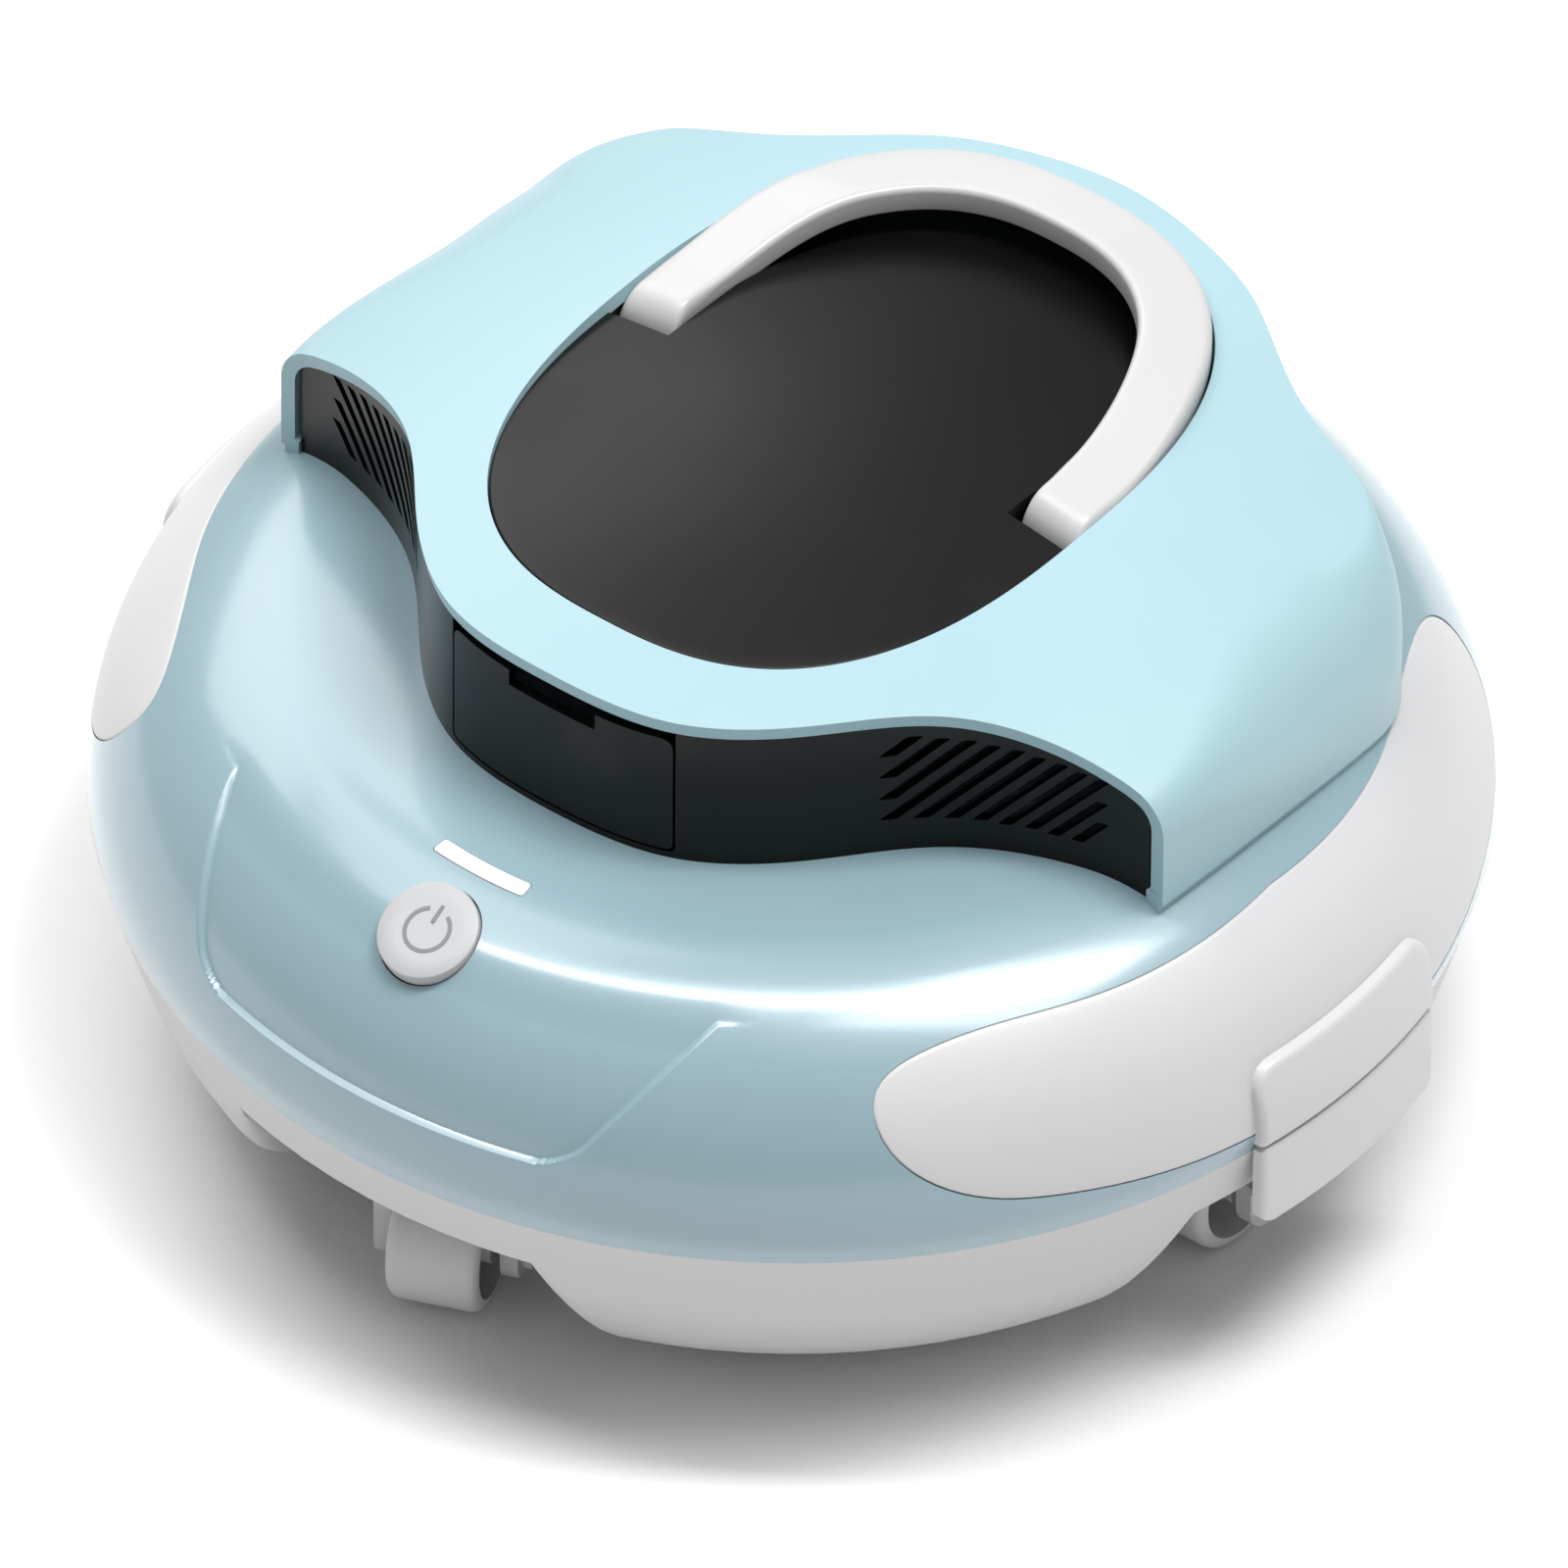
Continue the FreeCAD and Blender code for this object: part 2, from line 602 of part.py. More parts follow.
frame_outer = solid("frame_outer", opening_prism(-3.4, 170, HOOD_HIGH))
frame_hole = solid("frame_hole", opening_prism(-0.2, 160, HOOD_HIGH))
frame_ring = overlap("frame_ring", [cut("frame_wall", frame_outer, frame_hole), hood_under])
frame_bosses = [rod("frame_boss_%d" % (x > 0), "6", "3", (x, hinge_y, hinge_z - 3), (1, 0, 0)) for x in (81, -84)]
hinge_bore = rod("hinge_bore", "Sizes.handle_pin_radius + Sizes.running_gap", "200", (-100, hinge_y, hinge_z), (1, 0, 0))
frame_body = overlap("frame_body", [join("frame_bossed", [frame_ring] + frame_bosses), hood_under])
keep("window_frame", cut("window_frame", frame_body, hinge_bore))

# ---------------------------------------------------------------- carrying handle

handle_outer = solid("handle_outer", opening_prism(0.8, 150, HOOD_HIGH))
handle_inner = solid("handle_inner", opening_prism(0.8 + size("handle_width"), 140, HOOD_HIGH + 10))
handle_back = slab("handle_back", "120", "140", "80", size("handle_end_y"), 150)
raise_angle = -size("handle_rise")
handle_slab = cut("handle_slab", hood_ellipsoid("handle_crown", "0", raise_angle, 0.0, size("handle_end_y")),
                  hood_ellipsoid("handle_under", "0", raise_angle, size("handle_thickness"), size("handle_end_y")))
handle_blank = cut("handle_blank", overlap("handle_bar", [handle_slab, handle_outer, handle_back]), handle_inner)
knuckles = [rod("handle_knuckle_%d" % (x > 0), "Sizes.knuckle_radius", "12", (x, hinge_y, hinge_z), (1, 0, 0))
            for x in (65.5, -77.5)]
pin_hole = rod("pin_hole", "Sizes.handle_pin_radius", "200", (-100, hinge_y, hinge_z), (1, 0, 0))
keep("carry_handle", cut("carry_handle", join("handle_whole", [handle_blank] + knuckles), pin_hole))
pins = [rod("handle_pin_%d" % (x > 0), "Sizes.handle_pin_radius", "16", (x, hinge_y, hinge_z), (1, 0, 0))
        for x in (67.5, -83.5)]
keep("handle_pins", join("handle_pins", pins))

# ---------------------------------------------------------------- latches

dome_clip = dome_form("dome_clip", "-Sizes.latch_thickness")
clip_layer = cut("clip_layer", dome_clip, dome_outer)
clip_block = box("clip_block", "60", "2 * Sizes.latch_half", "Sizes.latch_top - Sizes.latch_split - 0.4",
                 (150, -size("latch_half"), size("latch_split") + 0.4))
catch = keep("latch_catch_right", overlap("latch_catch_right", [clip_layer, clip_block]))
lever_outer = rod("lever_outer", "Sizes.dome_radius + Sizes.latch_thickness - 0.2",
                  "Sizes.latch_split - Sizes.latch_low", (0, 0, size("latch_low")))
lever_inner = rod("lever_inner", "Sizes.dome_radius - 0.8", "60", (0, 0, 30))
lever_block = box("lever_block", "60", "2 * Sizes.latch_half", "60", (150, -size("latch_half"), 40))
lever_plate = overlap("lever_plate", [cut("lever_ring", lever_outer, lever_inner), lever_block])
lever_web = box("lever_web", "11.4", "44", "4", (pin_x, -22, pin_z - 2))
lever_knuckle = rod("lever_knuckle", "2.6", "44", (pin_x, -22, pin_z), (0, 1, 0))
lever_bore = rod("lever_bore", "Sizes.latch_pin_radius + Sizes.running_gap", "80", (pin_x, -40, pin_z), (0, 1, 0))
lever_body = join("lever_body", [lever_plate, lever_web, lever_knuckle])
lever = keep("latch_lever_right", cut("latch_lever_right", lever_body, lever_bore))
keep("latch_catch_left", flipped("latch_catch_left", catch, (1, 0, 0)))
keep("latch_lever_left", flipped("latch_lever_left", lever, (1, 0, 0)))

# ---------------------------------------------------------------- wheels and their brackets

WHEEL_HALF = "Sizes.wheel_width / 2"


def wheel_blank(name):
    """A drum wheel about Z, open on its +Z face, with a hub tube inside."""
    body = spun(name, [
        ("Sizes.axle_radius + Sizes.running_gap", "-%s + 1" % WHEEL_HALF),
        ("Sizes.wheel_radius - 4", "-%s + 1" % WHEEL_HALF),
        ("Sizes.wheel_radius - 3.5", "-%s" % WHEEL_HALF),
        ("Sizes.wheel_radius - 3", "-%s" % WHEEL_HALF, "-3"),
        ("Sizes.wheel_radius", "-%s + 3" % WHEEL_HALF),
        ("Sizes.wheel_radius", "%s - 3" % WHEEL_HALF, "-3"),
        ("Sizes.wheel_radius - 3", WHEEL_HALF),
        ("Sizes.wheel_radius - 4", WHEEL_HALF),
        ("Sizes.wheel_radius - 4", "-%s + 4" % WHEEL_HALF),
        ("Sizes.axle_radius + 3", "-%s + 4" % WHEEL_HALF),
        ("Sizes.axle_radius + 3", WHEEL_HALF),
        ("Sizes.axle_radius + Sizes.running_gap", WHEEL_HALF),
    ])
    return body


wheel_side = size("wheel_width") / 2
near_arm_x = -wheel_side - size("wheel_gap") - size("arm_thickness")
far_arm_x = wheel_side + size("hub_gap")
axle_z = size("wheel_radius")
wheel_proto = wheel_blank("wheel_proto")
plate = rod("bracket_plate", "Sizes.plate_radius", "4", (0, 0, pocket_roof - 4.4))
arms = []
for i, low_x in enumerate((near_arm_x, far_arm_x)):
    arms.append(box("bracket_arm_%d" % i, "Sizes.arm_thickness", "17", "Sizes.seam_height - Sizes.skirt_height - 22.4",
                    (low_x, -8.5, axle_z)))
    arms.append(rod("bracket_foot_%d" % i, "8.5", "Sizes.arm_thickness", (low_x, 0, axle_z), (1, 0, 0)))
arm_boss = rod("bracket_boss", "5.5", "3", (far_arm_x + size("arm_thickness"), 0, axle_z), (1, 0, 0))
bracket_bore = rod("bracket_bore", "Sizes.axle_radius", "80", (-40, 0, axle_z), (1, 0, 0))
bracket_proto = cut("bracket_proto", join("bracket_solid", [plate, arm_boss] + arms), bracket_bore)
steer_pin = rod("steer_pin", "Sizes.steer_pin_radius", "13", (0, 0, pocket_roof - 2))
steer_proto = join("steer_proto", [bracket_proto, steer_pin])
fixed_pad = rod("fixed_pad", "Sizes.plate_radius", "0.4", (0, 0, pocket_roof - 0.4))
fixed_proto = join("fixed_proto", [bracket_proto, fixed_pad])
axle_length = "Sizes.wheel_width + 2 * Sizes.arm_thickness + Sizes.wheel_gap + Sizes.hub_gap"
axle_proto = rod("axle_proto", "Sizes.axle_radius", axle_length, (near_arm_x, 0, axle_z), (1, 0, 0))
doc.recompute()


def placed(name, source, where):
    """A sub-part that is a copy of a finished piece, moved to its place."""
    shape = source.Shape.copy()
    shape.Placement = where * shape.Placement
    return keep(name, solid(name, shape))


def wheel_unit(place, centre, heading, bracket):
    """A bracket, its axle and its wheel, turned to a heading and set under the body."""
    where = Placement(Vector(*centre), Rotation(Vector(0, 0, 1), heading))
    placed(place + "_bracket", bracket, where)
    placed(place + "_axle", axle_proto, where)
    upright = Placement(Vector(0, 0, axle_z), Rotation(Vector(0, 0, 1), Vector(1, 0, 0)))
    placed(place + "_wheel", wheel_proto, where * upright)


heading = size("steer_heading")
wheel_unit("front", (0, -size("steer_y"), 0), heading, steer_proto)
wheel_unit("rear", (0, size("steer_y"), 0), 180 + heading, steer_proto)
wheel_unit("right", (size("side_wheel_x"), 0, 0), 0, fixed_proto)
wheel_unit("left", (-size("side_wheel_x"), 0, 0), 180, fixed_proto)

# ---------------------------------------------------------------- works inside

basket_outer = rod("basket_outer", "Sizes.basket_radius", "Sizes.basket_height", (0, 0, 14))
basket_room = rod("basket_room", "Sizes.basket_radius - 2.5", "Sizes.basket_height", (0, 0, 11.5))
basket_foot = rod("basket_foot", "Sizes.basket_radius - 2.5", "10", (0, 0, 9))
screen_hole = rod("screen_hole", "Sizes.basket_radius - 12", "10", (0, 0, 54))
basket_ring = cut("basket_ring", basket_outer, basket_room)
keep("filter_basket", cut("filter_basket", basket_ring, join("basket_tools", [screen_hole, basket_foot])))

SCREEN_SLOTS = 13
screen_disc = rod("screen_disc", "Sizes.basket_radius - 2", "1.6", (0, 0, 60))
screen_slots = []
for i in range(SCREEN_SLOTS):
    middle_y = 12 * (i - SCREEN_SLOTS // 2)
    half_chord = math.sqrt((size("basket_radius") - 14) ** 2 - middle_y ** 2)
    screen_slots.append(slab("screen_slot_%d" % i, "%.1f" % half_chord, "7", "6", middle_y - 3.5, 58))
keep("filter_screen", cut("filter_screen", screen_disc, join("screen_slots", screen_slots)))

for name, sign in (("front", -1), ("rear", 1)):
    edge_y = sign * (size("inlet_y") - size("inlet_width") / 2 - 4)
    near_y = min(edge_y, edge_y + sign * (size("inlet_width") + 7))
    plate_body = slab("inlet_plate_" + name, "Sizes.inlet_length / 2 + 0.8", "Sizes.inlet_width + 7", "1.6", near_y, 13.3)
    plate_lift = slab("inlet_rib_" + name, "Sizes.inlet_length / 2 + 0.8", "2.4", "3.6", edge_y - 1.2, 13.4)
    plate_rod = rod("inlet_rod_" + name, "1.2", "71", (-35.5, edge_y, INLET_HINGE_Z), (1, 0, 0))
    keep("inlet_flap_" + name, join("inlet_flap_" + name, [plate_body, plate_lift, plate_rod]))

motor_base = size("motor_base")
motor_can = rod("motor_can", "Sizes.motor_radius", "Sizes.motor_length", (0, 0, motor_base))
motor_neck = rod("motor_neck", "9", "5", (0, 0, motor_base - 5))
motor_bore = rod("motor_bore", "Sizes.shaft_radius + Sizes.running_gap", "30", (0, 0, motor_base - 8))
keep("pump_motor", cut("pump_motor", join("motor_solid", [motor_can, motor_neck]), motor_bore))
keep("motor_shaft", rod("motor_shaft", "Sizes.shaft_radius", "36", (0, 0, motor_base - 19)))
hub = cut("impeller_hub", rod("impeller_core", "7", "12", (0, 0, motor_base - 18)),
          rod("impeller_bore", "Sizes.shaft_radius", "20", (0, 0, motor_base - 20)))
hub_disc = cut("impeller_disc", rod("impeller_plate", "Sizes.impeller_radius", "1.6", (0, 0, motor_base - 8)),
               rod("impeller_plate_bore", "6", "9", (0, 0, motor_base - 12)))
vanes = []
doc.recompute()
for i in range(6):
    vane = box("vane_blank_%d" % i, "Sizes.impeller_radius - 7.5", "1.6", "9", (6.5, 0, motor_base - 17))
    vanes.append(turned("vane_%d" % i, vane, 60 * i))
keep("impeller", join("impeller", [hub, hub_disc] + vanes))

volute_wall = cut("volute_wall", rod("volute_outer", "Sizes.impeller_radius + 8", "22", (0, 0, motor_base - 22)),
                  rod("volute_room", "Sizes.impeller_radius + 4", "30", (0, 0, motor_base - 19)))
eye = rod("volute_eye", "16", "20", (0, 0, motor_base - 30))
keep("pump_housing", cut("pump_housing", volute_wall, eye))
mount_ring = cut("mount_ring", rod("mount_disc", "Sizes.impeller_radius + 8", "3", (0, 0, motor_base)),
                 rod("mount_hole", "Sizes.motor_radius", "9", (0, 0, motor_base - 3)))
keep("motor_mount", mount_ring)

case_outer = slab("case_outer", "44", "50", "44", 62, 80)
case_room = slab("case_room", "42", "46", "40", 64, 82)
keep("battery_case", cut("battery_case", case_outer, case_room))
cells = []
for row, cell_y in enumerate((76, 98)):
    for layer, cell_z in enumerate((91.5, 112.5)):
        start = (-size("cell_length") / 2, cell_y, cell_z)
        cells.append(rod("cell_%d_%d" % (row, layer), "Sizes.cell_radius", "Sizes.cell_length", start, (1, 0, 0)))
keep("battery_cells", join("battery_cells", cells))
board = slab("board_plate", "35", "45", "1.6", -112, 96)
chips = [box("chip_%d" % i, "12", "10", "4", (-28 + 20 * i, -100 + 8 * (i % 2), 97.6)) for i in range(3)]
keep("control_board", join("control_board", [board] + chips))

# ---------------------------------------------------------------- check and write

doc.recompute()
for thing in doc.Objects:
    if "Invalid" in thing.State or "Error" in thing.State:
        raise SystemExit("failed object: %s %s" % (thing.Name, thing.State))
os.makedirs("parts", exist_ok=True)
for name, thing in nodes.items():
    shape = thing.Shape
    if shape.isNull() or not shape.isValid() or shape.Volume <= 0:
        raise SystemExit("bad shape: " + name)
    shape.exportStep("parts/%s.step" % name)
    room = shape.optimalBoundingBox(False)
    print("%-20s %2d solids %10.1f mm3  x %.1f %.1f  y %.1f %.1f  z %.1f %.1f" % (
        name, len(shape.Solids), shape.Volume, room.XMin, room.XMax, room.YMin, room.YMax, room.ZMin, room.ZMax))
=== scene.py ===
import math

import bmesh
import bpy
import numpy as np
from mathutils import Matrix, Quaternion, Vector


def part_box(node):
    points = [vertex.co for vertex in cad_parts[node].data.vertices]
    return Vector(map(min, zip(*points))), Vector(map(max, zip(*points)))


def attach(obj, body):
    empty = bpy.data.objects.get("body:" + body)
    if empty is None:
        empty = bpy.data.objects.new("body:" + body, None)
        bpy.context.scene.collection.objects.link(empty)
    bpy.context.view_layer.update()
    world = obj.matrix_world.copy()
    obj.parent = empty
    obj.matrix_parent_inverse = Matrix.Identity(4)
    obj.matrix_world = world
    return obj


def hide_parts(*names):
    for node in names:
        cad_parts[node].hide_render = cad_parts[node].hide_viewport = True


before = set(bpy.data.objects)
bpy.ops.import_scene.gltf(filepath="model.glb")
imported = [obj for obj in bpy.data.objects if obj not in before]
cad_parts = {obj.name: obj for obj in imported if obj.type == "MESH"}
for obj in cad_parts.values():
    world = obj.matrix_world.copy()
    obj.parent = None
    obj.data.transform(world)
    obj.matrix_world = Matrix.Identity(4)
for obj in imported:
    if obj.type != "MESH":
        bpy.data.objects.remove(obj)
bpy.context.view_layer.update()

# Lengths below are millimetres in the shared frame; objects are stored in metres.
MM = 0.001


# ---------------------------------------------------------------- building blocks


def new_object(name, points, faces):
    """A smooth-shaded mesh object from points in millimetres."""
    mesh = bpy.data.meshes.new(name)
    corners = np.asarray(points, float).reshape(-1, 3) * MM
    mesh.from_pydata(corners.tolist(), [], faces)
    work = bmesh.new()
    work.from_mesh(mesh)
    bmesh.ops.remove_doubles(work, verts=work.verts, dist=1e-6)
    bmesh.ops.recalc_face_normals(work, faces=work.faces)
    work.to_mesh(mesh)
    work.free()
    mesh.shade_smooth()
    obj = bpy.data.objects.new(name, mesh)
    bpy.context.scene.collection.objects.link(obj)
    return obj


def grid_faces(rows, columns, wrap):
    """The faces between rows of points; wrap joins the last column to the first."""
    faces = []
    last = columns if wrap else columns - 1
    for row in range(rows - 1):
        for column in range(last):
            after = (column + 1) % columns
            low = row * columns
            high = low + columns
            faces.append((low + column, low + after, high + after, high + column))
    return faces


def sheet(name, points, wrap=False, caps=False):
    """A surface through rows of points; wrap joins the last column to the first, caps closes both ends."""
    points = np.asarray(points, float)
    rows, columns = points.shape[:2]
    faces = grid_faces(rows, columns, wrap)
    if caps:
        faces.append(tuple(range(columns)))
        faces.append(tuple(range((rows - 1) * columns, rows * columns)))
    return new_object(name, points, faces)


def settle(obj):
    """Turn an object's modifiers into plain mesh."""
    graph = bpy.context.evaluated_depsgraph_get()
    graph.update()
    mesh = bpy.data.meshes.new_from_object(obj.evaluated_get(graph))
    obj.modifiers.clear()
    obj.data = mesh
    return obj


def outward(obj):
    """Make the faces of an open sheet point away from the middle of the body."""
    work = bmesh.new()
    work.from_mesh(obj.data)
    middle = Vector((0, 0, 0.06))
    score = 0.0
    for face in work.faces:
        score += (face.calc_center_median() - middle).dot(face.normal) * face.calc_area()
    if score < 0:
        bmesh.ops.reverse_faces(work, faces=work.faces)
    work.to_mesh(obj.data)
    work.free()
    return obj


def thicken(obj, depth, even=True):
    """Give an open sheet a wall on its inner side."""
    outward(obj)
    wall = obj.modifiers.new("wall", "SOLIDIFY")
    wall.thickness = depth * MM
    wall.offset = -1
    wall.use_even_offset = even
    return settle(obj)


def soften(obj, width, segments=3, angle=35):
    """Round the sharp edges."""
    round_edges = obj.modifiers.new("round", "BEVEL")
    round_edges.width = width * MM
    round_edges.segments = segments
    round_edges.limit_method = "ANGLE"
    round_edges.angle_limit = math.radians(angle)
    round_edges.harden_normals = True
    round_edges.use_clamp_overlap = True
    return settle(obj)


def carve(obj, *tools):
    """Cut closed shapes out of a closed piece, and use them up."""
    for tool in tools:
        change = obj.modifiers.new("cut", "BOOLEAN")
        change.operation = "DIFFERENCE"
        change.object = tool
        change.solver = "EXACT"
        settle(obj)
        bpy.data.objects.remove(tool)
    obj.data.set_sharp_from_angle(angle=math.radians(38))
    return obj


def merge(obj, *others):
    """One object out of several that keep their own shapes."""
    work = bmesh.new()
    work.from_mesh(obj.data)
    for other in others:
        work.from_mesh(other.data)
    work.to_mesh(obj.data)
    work.free()
    for other in others:
        bpy.data.objects.remove(other)
    return obj


def lathe(name, profile, seat=(0, 0, 0), axis=(0, 0, 1), count=96):
    """A closed profile of (radius, height) turned about an axis that passes through seat."""
    turn = Vector((0, 0, 1)).rotation_difference(Vector(axis)).to_matrix()
    profile = list(profile)
    if profile[0][0] > 0 and profile[-1][0] > 0:
        profile.append(profile[0])
    columns = []
    for radius, height in profile:
        ring = []
        for step in range(count):
            angle = 2 * math.pi * step / count
            local = Vector((radius * math.cos(angle), radius * math.sin(angle), height))
            ring.append(Vector(seat) + turn @ local)
        columns.append(ring)
    obj = sheet(name, columns, wrap=True)
    obj.data.set_sharp_from_angle(angle=math.radians(38))
    return obj


def block(name, low, high):
    """A plain box between two corners."""
    corners = [(x, y, z) for z in (low[2], high[2]) for y in (low[1], high[1]) for x in (low[0], high[0])]
    faces = [(0, 2, 3, 1), (4, 5, 7, 6), (0, 1, 5, 4), (2, 6, 7, 3), (0, 4, 6, 2), (1, 3, 7, 5)]
    obj = new_object(name, corners, faces)
    obj.data.shade_flat()
    return obj


def rounded(corners, radius):
    """A polygon with its corners rounded; a corner may bring its own radius as a third number."""
    steps = 6
    points = []
    count = len(corners)
    for index in range(count):
        here = np.array(corners[index][:2], float)
        own = corners[index][2] if len(corners[index]) > 2 else radius
        before = np.array(corners[index - 1][:2], float) - here
        after = np.array(corners[(index + 1) % count][:2], float) - here
        before_unit = before / np.linalg.norm(before)
        after_unit = after / np.linalg.norm(after)
        for step in range(steps + 1):
            t = step / steps
            start = here + before_unit * own
            end = here + after_unit * own
            points.append((1 - t) ** 2 * start + 2 * t * (1 - t) * here + t ** 2 * end)
    return np.array(points)


def resampled(outline, spacing):
    """A closed outline with evenly spaced points."""
    closed = np.vstack([outline, outline[:1]])
    steps = np.linalg.norm(np.diff(closed, axis=0), axis=1)
    walked = np.concatenate([[0], np.cumsum(steps)])
    count = max(12, int(walked[-1] / spacing))
    stops = np.linspace(0, walked[-1], count, endpoint=False)
    return np.stack([np.interp(stops, walked, closed[:, 0]), np.interp(stops, walked, closed[:, 1])], 1)


def pillow(name, outline, place, low, high, edge=0.0, rings=12, grow=0.0):
    """A closed patch over an outline with a rounded upper rim; place(u, v, h) lays it on its surface."""
    outline = np.asarray(outline, float)
    x, y = outline.T
    if np.sum(x * np.roll(y, -1) - np.roll(x, -1) * y) < 0:
        outline = outline[::-1]
    ahead = np.roll(outline, -1, 0) - np.roll(outline, 1, 0)
    inward = np.stack([-ahead[:, 1], ahead[:, 0]], 1)
    inward /= np.maximum(np.linalg.norm(inward, axis=1), 1e-9)[:, None]
    outline = outline - inward * grow
    centre = outline.mean(0)
    shares = [0.004] + [step / rings for step in range(1, rings + 1)]
    rows = [(centre + (outline - centre) * share, low) for share in shares]
    steps = 5 if edge > 0 else 1
    for step in range(steps):
        angle = 0.5 * math.pi * step / max(1, steps - 1)
        rows.append((outline + inward * edge * (1 - math.cos(angle)), high - edge * (1 - math.sin(angle))))
    top = rows[-1][0]
    rows += [(centre + (top - centre) * share, high) for share in shares[::-1][1:]]
    points = [place(ring[:, 0], ring[:, 1], np.full(len(ring), height)) for ring, height in rows]
    obj = sheet(name, np.array(points), wrap=True, caps=True)
    obj.data.set_sharp_from_angle(angle=math.radians(50))
    return obj


# ---------------------------------------------------------------- the body's surfaces

# dome: a skirt from the seam to the rim, an arc over it, and a flat deck under the hood
SEAM_Z = 75.0
SEAM_R = 188.5
RIM_Z = 81.5
RIM_R = 190.0
CURVE = 60.0
RING = RIM_R - CURVE
DECK_Z = RIM_Z + CURVE
DECK_HOLE = 62.0
DOME_WALL = 3.0
# hood: the half axes, foot and middle of the ellipsoid that its crown lies on, and its wall
CROWN_X = 214.0
CROWN_Y = 284.0
CROWN_Z = 90.0
CROWN_FOOT = 111.0
CENTRE_Y = 22.5
HOOD_WALL = 4.4


def dome_radius(z):
    """The dome's radius at a height."""
    z = np.asarray(z, float)
    cone = SEAM_R + (z - SEAM_Z) * (RIM_R - SEAM_R) / (RIM_Z - SEAM_Z)
    arc = RING + np.sqrt(np.maximum(CURVE ** 2 - (z - RIM_Z) ** 2, 0))
    return np.where(z < RIM_Z, cone, arc)


def dome_height(radius):
    """The dome's height at a radius."""
    over = np.maximum(np.asarray(radius, float) - RING, 0)
    return RIM_Z + np.sqrt(np.maximum(CURVE ** 2 - over ** 2, 0))


def crown(x, y, drop=0.0):
    """The height of the hood's crown, or of its underside with the wall as drop."""
    across = np.asarray(x) / (CROWN_X - drop)
    along = (np.asarray(y) - CENTRE_Y) / (CROWN_Y - drop)
    return CROWN_FOOT + (CROWN_Z - drop) * np.sqrt(np.maximum(1 - across ** 2 - along ** 2, 0))


def spline(points, count):
    """A smooth curve through points, spaced by their distances, with free ends."""
    points = np.asarray(points, float)
    knots = np.concatenate([[0], np.cumsum(np.linalg.norm(np.diff(points, axis=0), axis=1))])
    size = len(points)
    steps = np.diff(knots)
    matrix = np.eye(size)
    target = np.zeros((size, 2))
    for row in range(1, size - 1):
        matrix[row, row - 1:row + 2] = steps[row - 1], 2 * (steps[row - 1] + steps[row]), steps[row]
        ahead = (points[row + 1] - points[row]) / steps[row]
        behind = (points[row] - points[row - 1]) / steps[row - 1]
        target[row] = 6 * (ahead - behind)
    bend = np.linalg.solve(matrix, target)
    where = np.linspace(0, knots[-1], count)
    piece = np.clip(np.searchsorted(knots, where, side="right") - 1, 0, size - 2)
    span = steps[piece][:, None]
    far = (knots[piece + 1] - where)[:, None]
    near = (where - knots[piece])[:, None]
    return (bend[piece] * far ** 3 + bend[piece + 1] * near ** 3) / (6 * span) + \
        (points[piece] / span - bend[piece] * span / 6) * far + \
        (points[piece + 1] / span - bend[piece + 1] * span / 6) * near


# right halves of the hood's front and rear edges in plan, from the middle to the corner
FRONT_HALF = [(0, -106), (37.5, -100.5), (65, -80.5), (92, -51.5), (131, -34), (150.6, -31)]
REAR_HALF = [(0, 145), (27, 141), (52, 132), (75, 116), (92, 106), (112, 99), (134, 89.5),
             (150.6, 76)]


def whole_edge(half):
    """One of the hood's S-shaped edges, from the left corner to the right one."""
    return spline([(-x, y) for x, y in half[:0:-1]] + list(half), 241)


front_edge = whole_edge(FRONT_HALF)
rear_edge = whole_edge(REAR_HALF)

SHOULDER = 13.0


def flank_x(y):
    """The hood's half width, slightly bowed between its corners."""
    return 153.0 - 2.4 * np.clip((np.asarray(y) - 19.5) / 50.5, -1.2, 1.2) ** 2


def crown_slope(spot, way):
    """How steeply the crown falls at a spot, along a level direction."""
    step = 0.5
    near = crown(*(spot - way * step))
    far = crown(*(spot + way * step))
    return math.atan((near - far) / (2 * step))


# the hood's oval opening: its half widths, its middle and how full its corners are
OPEN_X = 79.0
OPEN_Y = 107.6
OPEN_MIDDLE = 24.6
POWER = 2.5


def opening(angle, inset=0.0):
    """The oval opening at a turning angle, drawn in by inset."""
    c = np.cos(angle)
    s = np.sin(angle)
    reach_x = np.sign(c) * np.abs(c) ** (2 / POWER)
    reach_y = np.sign(s) * np.abs(s) ** (2 / POWER)
    return np.stack([(OPEN_X - inset) * reach_x, OPEN_MIDDLE + (OPEN_Y - inset) * reach_y], -1)


def on_side(sign):
    """Lays a patch, drawn as seen from the side, on the dome's right or left."""
    def place(u, v, h):
        radius = dome_radius(v) + h
        return np.stack([sign * np.sqrt(np.maximum(radius ** 2 - u ** 2, 0)), u, v], -1)
    return place


# ---------------------------------------------------------------- materials


POLISH_SPREAD = 0.05


